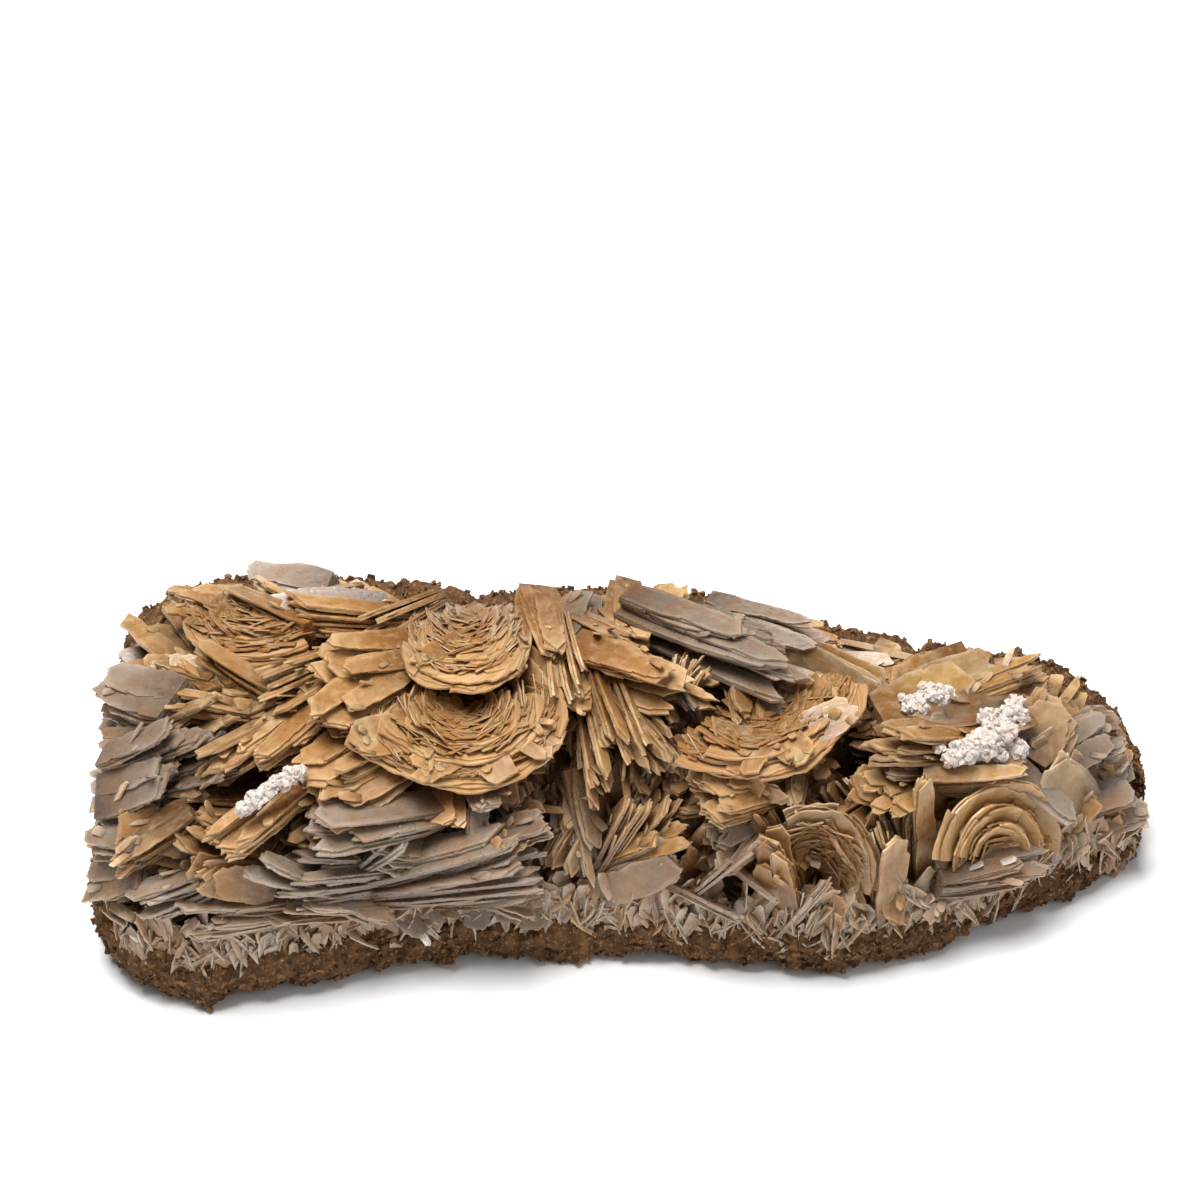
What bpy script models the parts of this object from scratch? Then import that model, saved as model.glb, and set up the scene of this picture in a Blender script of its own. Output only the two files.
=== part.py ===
"""Barite specimen: tan and grey bladed crystals grown over a slab of brown rock.

Lengths are in millimetres until the meshes are written, which are in metres.
+X runs to the right along the specimen, +Y to its bare rock back, +Z up.
The crystals cover a show face that slopes up from the front edge. A place on it
is given by x and by its rise: the height at which a viewer looking down at
VIEW_ANGLE sees it. A third value, out, moves the place towards that viewer.
"""

import math
import random

import bmesh
import bpy
from mathutils import Vector, noise

MM = 0.001
SEED = 20
CUT_GAP = 0.4
VIEW_ANGLE = math.radians(40)

# Cross sections of the whole specimen: x, front edge, back edge, top, height of the rock band in front
SECTIONS = (
    (-100, -12, 32, 30, 12),
    (-96, -24, 42, 42, 13),
    (-88, -33, 47, 49, 14),
    (-76, -37, 48, 53, 15),
    (-60, -33, 47, 54, 15),
    (-45, -28, 45, 52, 14),
    (-25, -24, 42, 50, 13),
    (0, -23, 43, 54, 12),
    (20, -25, 40, 51, 13),
    (40, -28, 35, 47, 14),
    (60, -21, 31, 44, 13),
    (80, -9, 29, 41, 12),
    (92, -3, 26, 35, 11),
    (98, 2, 22, 29, 10),
    (101, 6, 17, 22, 9),
)
PROFILE_POWER = 2.6
FACE_STEPS = 160
CENTRE = Vector((0.4, 4.3, 0.0))

# The rock: spacing of its sections, and how far its lumps stand out
ROCK_SPACING = 8.0
ROCK_LUMP = 1.6
ROCK_END = 1.5
ROCK_TAPER = 0.86

# The crystal mass under the blades: how far it lies inside the outline, and its lumps
MASS_SPACING = 11.0
MASS_INSET = 5.0
MASS_LUMP = 1.5
MASS_STEPS = (0.03, 0.13, 0.25, 0.40, 0.58, 0.76)

# Dark hollows between the blades: x, rise, radius, added depth
HOLLOWS = (
    (-80, 47, 7, 5),
    (-65, 17, 8, 7),
    (-42, 18, 6, 4),
    (-7, 26, 6, 5),
    (18, 33, 8, 7),
    (44, 24, 8, 6),
    (56, 8, 5, 3),
    (92, 12, 5, 4),
)

# Outline of one crystal plate, as shares of its length and width: root, full middle, blunt tip
PLATE_OUTLINE = (
    (0.0, -0.42),
    (0.90, -0.50),
    (1.0, 0.05),
    (0.76, 0.50),
    (0.0, 0.42),
)
SMALL_OUTLINE = (
    (0.0, -0.42),
    (0.92, -0.50),
    (1.0, 0.28),
    (0.0, 0.46),
)
SMALL_WIDTH = 6.2
ROOT_DEPTH = 2.0
PLATE_PITCH = 1.15
SIDEWAYS_LIMIT = 0.35

# Books of crystal plates that share a root.
# root (x, rise, out), tip (x, rise, out), width, thickness, roll, plates, splay
# A roll of 0 turns the broad face to the viewer, 90 shows only the edge.
BOOKS = (
    # Upper left corner
    ((-73, 35, -6), (-95, 51, 1), 9, 3.3, 40, 1, 0),
    ((-64, 33, -7), (-85, 43.5, 2), 6.5, 3.3, 58, 1, 0),
    ((-73, 37, -6), (-88, 41.5, 1), 6, 2.4, 30, 1, 0),
    ((-71, 50, -6), (-88, 52, -1), 10, 2.4, 45, 1, 0),
    ((-59, 47, -3), (-79, 55.5, 0), 8, 2.4, 60, 1, 0),
    ((-46, 53, -2), (-68, 53.5, 1), 9, 4.8, 25, 1, 0),
    ((-57, 56, -3), (-74, 58, -1), 8, 1.8, 30, 1, 8),
    ((-42, 49, -2), (-65.5, 50, 2), 8, 3.6, 65, 1, 0),
    ((-41, 42, -3), (-59.5, 38, 4), 10, 2.0, 25, 2, 14),
    ((-36, 52, -2), (-51, 42, 2), 8, 1.4, 82, 2, 18),
    ((-51, 42, -6), (-68.5, 32, 3), 7, 1.6, 72, 2, 14),
    # Left end, grey and layered
    ((-84, 31, -6), (-100, 33, -1), 14, 4.5, 15, 1, 0),
    ((-94, 27, -8), (-69, 31, 2), 8, 3.3, 60, 1, 0),
    ((-94, 20.5, -7), (-69.5, 26, 3), 9, 3.0, 50, 2, 8),
    ((-97, 16, -5), (-76, 20, -3), 10, 2.5, 10, 1, 8),
    ((-88, 10, -5), (-97.5, 10, -1), 12, 2.0, 30, 1, 0),
    ((-86, 2, -5), (-97, -1, -1), 9, 2.2, 25, 2, 14),
    # Long diagonal blades round the dark hollow
    ((-56, 33, -5), (-72, 17.5, 5), 7, 3.2, 30, 1, 0),
    ((-60, 31, -7), (-75, 18.5, 3), 6, 2.4, 60, 1, 0),
    ((-43, 37, -4), (-59.5, 22.5, 5), 11, 2.2, 20, 2, 14),
    ((-41, 25.5, -5), (-54.3, 17, 3), 7, 3.3, 30, 1, 0),
    ((-41, 21, -3), (-56, 11.5, 3), 9, 2.4, 15, 1, 0),
    ((-53, 22, -8), (-71.5, 4.5, 5), 8.5, 4.6, 35, 1, 0),
    ((-62, 14, -9), (-85, 13, 0), 8, 3.3, 60, 1, 0),
    ((-78, 9, -7), (-92, 12, 0), 12, 2.0, 0, 2, 14),
    ((-77, 12, -6), (-92, 1.5, 2), 7, 4.5, 30, 1, 0),
    ((-64, 1, -4), (-79, 3.5, 1), 9, 1.6, -20, 2, 14),
    # Lower left, grey ledges over the rock
    ((-76, 0.5, -4), (-89.5, -4.5, 2), 6, 2.6, 50, 1, 8),
    ((-59, -3, -4), (-84, -7, 3), 8, 3.9, 40, 1, 0),
    ((-40, 4, -5), (-65, 1.5, 0), 9, 2.7, 55, 1, 0),
    ((-34, 13.5, -3), (-58, 8, 4), 9, 3.3, 40, 1, 0),
    ((-44, 1, -3), (-10, 6.5, 3), 9, 2.6, 30, 1, 5),
    ((-34, 0, -4), (-12, 0.5, 2), 9, 3.0, 10, 1, 0),
    # Small crystals under the middle rosette
    ((-33, 18, -5), (-31, 9.5, 3), 9, 1.6, 0, 1, 0),
    ((-25, 18, -3), (-23, 13.5, 4), 7, 1.6, 10, 1, 0),
    ((-27, 6, -3), (-17, 11, 4), 7, 1.6, 30, 2, 16),
    ((-23, 19, -6), (-12, 14.5, 1), 7, 1.8, -20, 2, 14),
    # Column of upright blades beside the middle
    ((-16, 54, -2), (-12.5, 36.5, 3), 9, 3.0, 20, 1, 0),
    ((-10.5, 48, -3), (-7.5, 32.5, 4), 6, 3.0, 75, 1, 0),
    ((-7, 42, -6), (-8, 28.5, 2), 8, 2.0, 10, 1, 0),
    ((-10, 46, -3), (-5, 57, -1), 9, 2.4, 30, 1, 0),
    ((1.5, 57, -2), (0.5, 44.5, 1), 7, 2.0, 10, 1, 0),
    ((-5, 36, -7), (0, 16.5, 4), 6, 2.0, 60, 1, 0),
    ((-1, 38, -6), (3, 22, 3), 5, 1.8, 65, 1, 0),
    ((-23, 45, -4), (-12, 32, 2), 8, 1.6, -30, 2, 14),
    ((-9, 20, -7), (-6, -4, 0), 7, 3.3, 40, 1, 0),
    # Long diagonal blades of the upper right
    ((-6, 43, -4), (16.5, 33.5, 5), 9, 2.0, 30, 2, 10),
    ((3, 50.5, -3), (37, 34, 5), 9, 4.5, 40, 1, 0),
    ((6, 48, -4), (10.5, 55.5, -1), 9, 3.0, 10, 1, 0),
    ((18, 51, -4), (41, 42, 1), 9, 3.0, 30, 1, 0),
    ((33, 43, -3), (51, 36, -1), 11, 2.4, -20, 1, 0),
    ((10, 38, -7), (11.5, 26.5, 0), 5, 1.5, 50, 1, 0),
    ((22, 40, -8), (22.5, 29.5, 0), 7, 2.4, 40, 1, 0),
    ((0, 33, -7), (10.5, 20.5, 2), 6, 3.3, -40, 1, 0),
    # Bright ledge under the right bowl
    ((28, 22, -6), (11, 19.5, 1), 9, 2.7, 30, 1, 0),
    ((27, 19, -6), (12.5, 14.5, 3), 10, 3.0, 25, 1, 0),
    # Lower middle and right, over the rock
    ((33, 27, -8), (31, 12.5, 1), 5.5, 2.8, 30, 1, 0),
    ((31, -1, -5), (27, 14.5, 1), 8, 3.0, -30, 1, 0),
    ((26, 13, -7), (16.5, 4.5, 3), 10, 3.4, -10, 1, 0),
    ((-2, 4, -6), (7.5, 18, 2), 6, 1.6, 70, 1, 0),
    ((-2, 6, -6), (13, 11.5, 3), 5.5, 2.6, 20, 1, 0),
    ((-3, 0, -5), (14, 8, -1), 10, 3.0, -20, 1, 0),
    ((14.5, -0.5, -1), (25, 8.7, 5), 4, 1.4, 78, 1, 0),
    ((9.5, 0.5, -1), (23.5, -6, 3), 4, 1.4, 75, 1, 0),
    ((31, -7.5, -2), (38.7, 1.8, 4), 3.5, 1.5, 75, 1, 0),
    ((52, -2, -6), (41.5, 14.5, 1), 8, 1.4, 70, 2, 14),
    ((49, -4, -4), (48.5, 14.5, 2), 9, 3.3, 35, 1, 0),
    ((56, 3, -6), (54.5, 21, 3), 6, 3.0, 25, 1, 0),
    # Right end, olive and translucent
    ((48, 32, -5), (78, 42.5, -1), 12, 2.0, 20, 2, 14),
    ((62, 34, -5), (83.5, 40, 1), 6, 3.6, 50, 1, 0),
    ((73, 34, -4), (52, 30, 0), 9, 2.4, 25, 1, 0),
    ((65, 27, -5), (43.5, 26.5, 4), 8, 3.9, 55, 1, 0),
    ((55, 19, -6), (45.5, 15, 2), 8, 1.6, 20, 1, 0),
    ((57, 22, -4), (77, 23.5, 1), 9, 3.6, 30, 1, 0),
    ((77, 25, -5), (84.5, 37, 0), 12, 3.0, 0, 1, 0),
    ((88, 13, -6), (76, 28, 1), 13, 3.0, 10, 1, 0),
    ((72, 23, -2), (86, 11.5, 3), 8, 3.0, 40, 1, 0),
    ((83, 25, -5), (93.5, 30.5, -2), 10, 1.5, -10, 2, 14),
    ((89, 18, -7), (101, 22, -1), 11, 2.0, 10, 2, 16),
    ((91, 12, -6), (102, 15.5, -2), 9, 3.0, 10, 1, 0),
    ((60, 2, -4), (82, 6, -1), 8, 3.4, 30, 1, 0),
    ((60, -0.5, -3), (88, 4.5, 0), 6, 2.8, 30, 1, 0),
)

# Curved sheets of the rosettes, nested like saucers.
# centre (x, rise), radii (across, up), inner share, arc (start, end), out (base, rim),
# thickness, sheets, shrink of each next sheet, and how far its base and rim move out
ROSETTES = (
    ((-29, 53), (12.5, 15.5), 0.10, (188, 350), (-4, 3.5), 1.6, 2, 0.72, 1.9, -0.6),
    ((-28, 33.5), (18.5, 14.5), 0.10, (160, 375), (-6, 3.0), 1.8, 3, 0.72, 2.1, -0.6),
    ((25, 37.5), (19.5, 17.0), 0.30, (228, 362), (-8, 3.5), 1.8, 2, 0.80, 2.1, -0.6),
    ((71, 4.5), (12.5, 14.5), 0.45, (5, 178), (-6, 2.5), 1.4, 3, 0.66, 0.0, 0.0),
    ((-67, 54.5), (17.0, 12.5), 0.20, (178, 305), (-5, 0.5), 1.8, 2, 0.74, 2.1, 0.4),
    ((35, 1), (11.5, 13.0), 0.30, (-10, 115), (-6, 1.5), 2.4, 1, 0.85, 0.0, 0.0),
)
ARC_STEP = 40
TANGENT_STEP = 0.05

# Small blades that stand on edge in a criss-cross along the rock band
BOXWORK_COUNT = 20
BOXWORK_RANGE = (-88, 97)
BOXWORK_LENGTH = (7, 12)
BOXWORK_WIDTH = (5, 7)
BOXWORK_THICK = (1.3, 1.7)
BOXWORK_ABOVE = (-1, 8)

# Ledges of crystal on the two ends: root x, tip x, range of y, range of z, rows, columns
END_LEDGES = (
    (-91, -99.5, (-10, 26), (15, 30), 3, 2),
    (92, 100.5, (2, 20), (12, 22), 2, 2),
)
LEDGE_SIZE = (11.0, 2.0)

# Facets that turn by less than this are one flat face, and shorter edges are welded
FLAT_ANGLE = math.radians(0.3)
SHORTEST_EDGE = 0.006

# White crusts on the blades: lumps at (x, rise, out) with a radius
WHITE_LUMPS = {
    "white_crust_upper": (
        (55.0, 33.6, 0.6, 2.6),
        (58.2, 35.4, 0.8, 2.7),
        (61.2, 36.0, 0.4, 1.9),
    ),
    "white_crust_lower": (
        (62.5, 24.8, 2.0, 3.0),
        (66.5, 26.4, 2.2, 3.8),
        (70.5, 29.0, 2.2, 3.6),
        (73.0, 32.4, 1.6, 3.0),
        (72.8, 25.8, 1.4, 2.4),
    ),
    "white_crust_left": (
        (-65.0, 14.8, 5.0, 2.0),
        (-62.2, 16.8, 4.6, 2.2),
        (-59.4, 18.6, 4.0, 2.3),
        (-56.8, 20.0, 3.2, 2.0),
    ),
}
WHITE_STRETCH = (1.15, 0.95, 0.85)
WHITE_LUMP = 0.35
WHITE_LUMPS_PER_RADIUS = 1.7
WHITE_TRIANGLES = 160

# Colour, roughness and metallic value of each material
MATERIALS = {
    "brown_rock": ((0.20, 0.13, 0.08), 0.95, 0.0),
    "tan_barite": ((0.56, 0.40, 0.20), 0.45, 0.0),
    "white_crust": ((0.86, 0.82, 0.78), 0.80, 0.0),
}

SIN = math.sin(VIEW_ANGLE)
COS = math.cos(VIEW_ANGLE)
RIGHT = Vector((1.0, 0.0, 0.0))
UP = Vector((0.0, SIN, COS))
TOWARDS = Vector((0.0, -COS, SIN))


class Shape:
    """Points and faces gathered for one mesh."""

    def __init__(self):
        self.points = []
        self.faces = []

    def add_tube(self, rings):
        """Join equal rings of points into a closed tube, capped at both ends."""
        start = len(self.points)
        size = len(rings[0])
        for ring in rings:
            self.points.extend(ring)
        for row in range(len(rings) - 1):
            for i in range(size):
                j = (i + 1) % size
                low = start + row * size
                high = low + size
                self.faces.append((low + i, low + j, high + j, high + i))
        last = start + (len(rings) - 1) * size
        self.faces.append(tuple(start + i for i in reversed(range(size))))
        self.faces.append(tuple(last + i for i in range(size)))

    def mesh(self, name):
        """Write the points, in metres, as a triangulated mesh with its faces pointing out."""
        mesh = bpy.data.meshes.new(name)
        mesh.from_pydata([(p - CENTRE) * MM for p in self.points], [], self.faces)
        work = bmesh.new()
        work.from_mesh(mesh)
        bmesh.ops.triangulate(work, faces=work.faces, quad_method="FIXED", ngon_method="EAR_CLIP")
        bmesh.ops.recalc_face_normals(work, faces=work.faces)
        work.to_mesh(mesh)
        work.free()
        return mesh


def clear_scene():
    """Remove every object of the starting scene."""
    for thing in list(bpy.data.objects):
        bpy.data.objects.remove(thing, do_unlink=True)


def section(x):
    """Front edge, back edge, top and band height of the specimen at x."""
    x = min(max(x, SECTIONS[0][0]), SECTIONS[-1][0])
    for low, high in zip(SECTIONS, SECTIONS[1:]):
        if x <= high[0]:
            share = (x - low[0]) / (high[0] - low[0])
            return [a + (b - a) * share for a, b in zip(low[1:], high[1:])]
    return list(SECTIONS[-1][1:])


def profile(x, share):
    """Point of the outline at x: share 0 is the front edge, 1 the back edge."""
    front, back, top, band = section(x)
    angle = math.pi * (1 - share)
    reach = math.copysign(abs(math.cos(angle)) ** (2 / PROFILE_POWER), math.cos(angle))
    lift = abs(math.sin(angle)) ** (2 / PROFILE_POWER)
    y = (front + back) / 2 + (back - front) / 2 * reach
    return Vector((x, y, band + (top - band) * lift))


def face_point(x, rise, out=0.0):
    """Point on the show face at x and rise, moved out towards the viewer."""
    point = profile(x, 0)
    if rise <= point.dot(UP):
        point = Vector((x, point.y, (rise - point.y * SIN) / COS))
        return point + TOWARDS * out
    for step in range(1, FACE_STEPS + 1):
        above = profile(x, step / FACE_STEPS)
        if above.dot(UP) < point.dot(UP):
            break
        point = above
        if point.dot(UP) >= rise:
            break
    past_crest = max(0.0, rise - point.dot(UP))
    return point + UP * past_crest + TOWARDS * out


def lump(point, size, amount):
    """Smooth seeded shift of a point, for lumpy natural surfaces."""
    place = point / size
    shift = [noise.noise(place + Vector((SEED * axis, 0, 0))) for axis in (1, 2, 3)]
    return Vector(shift) * amount


def hollow_depth(point):
    """How much deeper the crystal mass lies at a point, from the dark hollows near it."""
    depth = 0.0
    for x, rise, radius, extra in HOLLOWS:
        share = (point - face_point(x, rise)).length / radius
        depth = max(depth, extra * max(0.0, 1 - share * share))
    return depth


def rock_ring(x, shrink):
    """Closed cross section of the rock: flat foot, low front band, bare back wall."""
    front, back, top, band = section(x)
    depth = back - front
    ridge = profile(x, 0.80)
    corners = (
        (front + 4.5, 0),
        (front + 0.8, 2.2),
        (front, 0.55 * band),
        (front + 1.5, band - 1.5),
        (front + 0.40 * depth, band + 3),
        (front + 0.70 * depth, 0.52 * top),
        (ridge.y - 3, ridge.z - 1.5),
        (ridge.y + 3, ridge.z + 0.5),
        (back - 1.5, band + 0.55 * (top - band)),
        (back, band),
        (back - 1.5, 3),
        (back - 6, 0),
    )
    middle = Vector((x, (front + back) / 2, 0.4 * band))
    ring = []
    for y, z in corners:
        point = Vector((x, y, z))
        if z > 0:
            point += lump(point, 9, ROCK_LUMP) + lump(point, 4, 0.5 * ROCK_LUMP)
            point.z = max(point.z, 1.2)
            point.x = x
        ring.append(middle + (point - middle) * shrink)
        if z == 0:
            ring[-1].z = 0
    return ring


def rock_shape():
    """The rock slab, lofted through its cross sections."""
    shape = Shape()
    first, last = SECTIONS[0][0], SECTIONS[-1][0]
    steps = round((last - first) / ROCK_SPACING)
    rings = [rock_ring(first - ROCK_END, ROCK_TAPER)]
    for step in range(steps + 1):
        rings.append(rock_ring(first + (last - first) * step / steps, 1.0))
    rings.append(rock_ring(last + ROCK_END, ROCK_TAPER))
    shape.add_tube(rings)
    return shape


def swell(mesh, amount):
    """Move every point of a closed mesh outwards, to make a cutter that leaves a gap."""
    work = bmesh.new()
    work.from_mesh(mesh)
    work.normal_update()
    for vert, normal in [(vert, vert.normal.copy()) for vert in work.verts]:
        vert.co += normal * (amount * MM)
    work.to_mesh(mesh)
    work.free()
    return mesh


def mass_ring(x):
    """Closed cross section of the crystal mass, whose underside lies inside the rock."""
    front, back, top, band = section(x)
    depth = back - front
    ring = [Vector((x, front + 5, band - 4))]
    for share in MASS_STEPS:
        point = profile(x, share)
        inwards = (Vector((x, (front + back) / 2, band)) - point).normalized()
        inset = MASS_INSET + hollow_depth(point)
        ring.append(point + inwards * inset + lump(point, 7, MASS_LUMP))
        ring[-1].x = x
    ring.append(Vector((x, front + 0.84 * depth, 0.60 * top)))
    ring.append(Vector((x, front + 0.66 * depth, band)))
    ring.append(Vector((x, front + 0.35 * depth, band - 3)))
    return ring


def mass_shape():
    """The crystal mass that the blades grow from."""
    shape = Shape()
    first, last = SECTIONS[0][0] + 3, SECTIONS[-1][0] - 3
    steps = round((last - first) / MASS_SPACING)
    rings = [mass_ring(first + (last - first) * step / steps) for step in range(steps + 1)]
    shape.add_tube(rings)
    return shape


def book_frame(root, tip, roll):
    """Axes of a plate: along from root to tip, across its width, and its normal."""
    along = (tip - root).normalized()
    facing = (TOWARDS - along * TOWARDS.dot(along)).normalized()
    side = facing.cross(along)
    leans_up = side.dot(UP) if abs(side.dot(UP)) > SIDEWAYS_LIMIT else side.dot(RIGHT)
    turn = math.radians(roll) * (1 if leans_up >= 0 else -1)
    normal = facing * math.cos(turn) + side * math.sin(turn)
    return along, normal.cross(along), normal


def add_plate(shape, root, along, across, normal, length, width, thick):
    """One flat crystal plate with sharp edges and a blunt tip."""
    outline = PLATE_OUTLINE if width > SMALL_WIDTH else SMALL_OUTLINE
    lower = []
    upper = []
    for share, side in outline:
        point = root + along * (length * share) + across * (width * side)
        lower.append(point - normal * (thick / 2))
        upper.append(point + normal * (thick / 2))
    shape.add_tube([lower, upper])


def add_book(shape, draw, root, tip, width, thick, roll, plates, splay):
    """A book of plates that fan out from one root, the front ones shorter."""
    along, across, normal = book_frame(root, tip, roll)
    length = (tip - root).length + ROOT_DEPTH
    start = root - along * ROOT_DEPTH
    for i in range(plates):
        place = i - (plates - 1) / 2
        turn = math.radians(splay) * place / max(plates - 1, 1)
        leaf_along = along * math.cos(turn) + normal * math.sin(turn)
        leaf_normal = normal * math.cos(turn) - along * math.sin(turn)
        shorten = 1 - draw.uniform(0.06, 0.14) * i
        slide = across * (draw.uniform(-0.1, 0.1) * width * (i > 0))
        add_plate(
            shape,
            start + normal * (place * thick * PLATE_PITCH) + slide,
            leaf_along,
            across,
            leaf_normal,
            length * shorten,
            width * (1 - 0.06 * i),
            thick,
        )


def sheet_point(centre, radii, share, angle, out):
    """Point of a curved sheet over the show face, by its share of the radius and its angle."""
    x = centre[0] + radii[0] * share * math.cos(angle)
    rise = centre[1] + radii[1] * share * math.sin(angle)
    return face_point(x, rise, out)


def add_sheet(shape, centre, radii, inner, arc, out, thick):
    """One curved sheet with a faceted rim, thickened away from the viewer."""
    cells = max(2, round((arc[1] - arc[0]) / ARC_STEP))
    rings = []
    for cell in range(cells + 1):
        angle = math.radians(arc[0] + (arc[1] - arc[0]) * cell / cells)
        base = sheet_point(centre, radii, inner, angle, out[0])
        rim = sheet_point(centre, radii, 1.0, angle, out[1])
        beside = sheet_point(centre, radii, 1.0, angle + TANGENT_STEP, out[1])
        normal = (rim - base).cross(beside - rim).normalized()
        rings.append([base, rim, rim - normal * thick, base - normal * thick])
    shape.add_tube(rings)


def add_rosette(shape, centre, radii, inner, arc, out, thick, sheets, shrink, base_step, rim_step):
    """Nested curved sheets that share a centre."""
    for i in range(sheets):
        scale = shrink ** i
        add_sheet(
            shape,
            centre,
            (radii[0] * scale, radii[1] * scale),
            inner,
            (arc[0] + 7 * i, arc[1] - 5 * i),
            (out[0] + base_step * i, out[1] + rim_step * i),
            thick,
        )


def add_boxwork(shape, draw):
    """Small blades on edge, crossing one another along the rock band."""
    low, high = BOXWORK_RANGE
    for i in range(BOXWORK_COUNT):
        x = low + (high - low) * (i + draw.uniform(0.1, 0.9)) / BOXWORK_COUNT
        front, _, _, band = section(x)
        rise = front * SIN + band * COS + draw.uniform(*BOXWORK_ABOVE)
        length = draw.uniform(*BOXWORK_LENGTH)
        angle = math.radians(draw.choice((25, 50, 75, 105, 130, 155)) + draw.uniform(-10, 10))
        root = face_point(x - 0.5 * length * math.cos(angle), rise - 0.5 * length * math.sin(angle), -2.5)
        tip = face_point(x + 0.5 * length * math.cos(angle), rise + 0.5 * length * math.sin(angle), 1.0)
        roll = draw.uniform(55, 85) * draw.choice((-1, 1))
        add_book(shape, draw, root, tip, draw.uniform(*BOXWORK_WIDTH), draw.uniform(*BOXWORK_THICK), roll, 1, 0)


def add_end_ledges(shape, draw):
    """Layered ledges of crystal on the left and right ends."""
    width, thick = LEDGE_SIZE
    for root_x, tip_x, y_range, z_range, rows, columns in END_LEDGES:
        for row in range(rows):
            for column in range(columns):
                y = y_range[0] + (y_range[1] - y_range[0]) * (column + draw.random()) / columns
                z = z_range[0] + (z_range[1] - z_range[0]) * (row + draw.random()) / rows
                root = Vector((root_x, y, z))
                tip = Vector((tip_x, y + draw.uniform(-3, 3), z + draw.uniform(-1, 3)))
                along = (tip - root).normalized()
                across = Vector((draw.uniform(-0.1, 0.1), 1, draw.uniform(-0.35, 0.35)))
                across = (across - along * across.dot(along)).normalized()
                length = (tip - root).length
                add_plate(shape, root, along, across, along.cross(across), length, width, thick)


def blade_shape():
    """Every blade and rosette of the specimen."""
    shape = Shape()
    draw = random.Random(SEED)
    for root, tip, width, thick, roll, plates, splay in BOOKS:
        add_book(shape, draw, face_point(*root), face_point(*tip), width, thick, roll, plates, splay)
    for rosette in ROSETTES:
        add_rosette(shape, *rosette)
    add_boxwork(shape, draw)
    add_end_ledges(shape, draw)
    return shape


def white_shapes(lumps):
    """Lumps of white crust that run into one another."""
    parts = []
    for x, rise, out, radius in lumps:
        work = bmesh.new()
        bmesh.ops.create_icosphere(work, subdivisions=2, radius=1.0)
        centre = face_point(x, rise, out)
        shape = Shape()
        for vert in work.verts:
            knob = 1 + noise.noise(vert.co * WHITE_LUMPS_PER_RADIUS + centre) * WHITE_LUMP
            reach = vert.co * (radius * knob)
            reach = Vector([a * b for a, b in zip(reach, WHITE_STRETCH)])
            shape.points.append(centre + RIGHT * reach.x + UP * reach.y + TOWARDS * reach.z)
        shape.faces = [tuple(v.index for v in face.verts) for face in work.faces]
        work.free()
        parts.append(shape)
    return parts


def new_object(name, mesh, material=None):
    """Put a mesh in the scene as a named object."""
    thing = bpy.data.objects.new(name, mesh)
    bpy.context.scene.collection.objects.link(thing)
    if material:
        mesh.materials.clear()
        mesh.materials.append(material)
    return thing


def make_material(name):
    """A plain surface with the colour, roughness and metallic value of the part."""
    colour, roughness, metallic = MATERIALS[name]
    material = bpy.data.materials.new(name)
    material.use_nodes = True
    shader = material.node_tree.nodes["Principled BSDF"]
    shader.inputs["Base Color"].default_value = (*colour, 1.0)
    shader.inputs["Roughness"].default_value = roughness
    shader.inputs["Metallic"].default_value = metallic
    material.diffuse_color = (*colour, 1.0)
    return material


def combine(target, operand, operation, own_overlaps=False):
    """Apply a Boolean to the target object and remove the operand."""
    modifier = target.modifiers.new("combine", "BOOLEAN")
    modifier.operation = operation
    modifier.solver = "EXACT"
    modifier.use_self = own_overlaps
    modifier.object = operand
    operand.hide_render = True
    operand.display_type = "WIRE"
    bpy.context.view_layer.update()
    graph = bpy.context.evaluated_depsgraph_get()
    result = bpy.data.meshes.new_from_object(target.evaluated_get(graph))
    target.modifiers.clear()
    target.data = result
    bpy.data.objects.remove(operand, do_unlink=True)


def thin_out(thing, triangles):
    """Bring a mesh down to about a number of triangles, keeping its flat faces."""
    modifier = thing.modifiers.new("thin out", "DECIMATE")
    modifier.ratio = min(1.0, triangles / len(thing.data.polygons))
    bpy.context.view_layer.update()
    graph = bpy.context.evaluated_depsgraph_get()
    result = bpy.data.meshes.new_from_object(thing.evaluated_get(graph))
    thing.modifiers.clear()
    thing.data = result


def shells(work):
    """Groups of faces that hang together through shared edges."""
    left = set(work.faces)
    groups = []
    while left:
        stack = [left.pop()]
        group = []
        while stack:
            face = stack.pop()
            group.append(face)
            for edge in face.edges:
                for other in edge.link_faces:
                    if other in left:
                        left.remove(other)
                        stack.append(other)
        groups.append(group)
    return groups


def keep_main_shell(thing):
    """Fill sealed pockets and drop chips, so that one closed body is left."""
    work = bmesh.new()
    work.from_mesh(thing.data)
    bmesh.ops.dissolve_limit(work, angle_limit=FLAT_ANGLE, verts=work.verts, edges=work.edges)
    bmesh.ops.triangulate(work, faces=work.faces)
    groups = sorted(shells(work), key=len, reverse=True)
    spare = [face for group in groups[1:] for face in group]
    bmesh.ops.delete(work, geom=spare, context="FACES")
    bmesh.ops.delete(work, geom=[v for v in work.verts if not v.link_faces], context="VERTS")
    work.to_mesh(thing.data)
    work.free()


def neighbours(vert):
    """Vertices joined to one vertex by an edge."""
    return {edge.other_vert(vert) for edge in vert.link_edges}


def close_short_edges(thing):
    """Weld the ends of very short edges, where that keeps the surface closed."""
    work = bmesh.new()
    work.from_mesh(thing.data)
    short = [edge for edge in work.edges if edge.calc_length() < SHORTEST_EDGE * MM]
    while short:
        edge = short.pop()
        first, second = edge.verts
        if len(neighbours(first) & neighbours(second)) == 2:
            bmesh.ops.weld_verts(work, targetmap={first: second})
        short = [edge for edge in short if edge.is_valid]
    work.to_mesh(thing.data)
    work.free()


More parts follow.
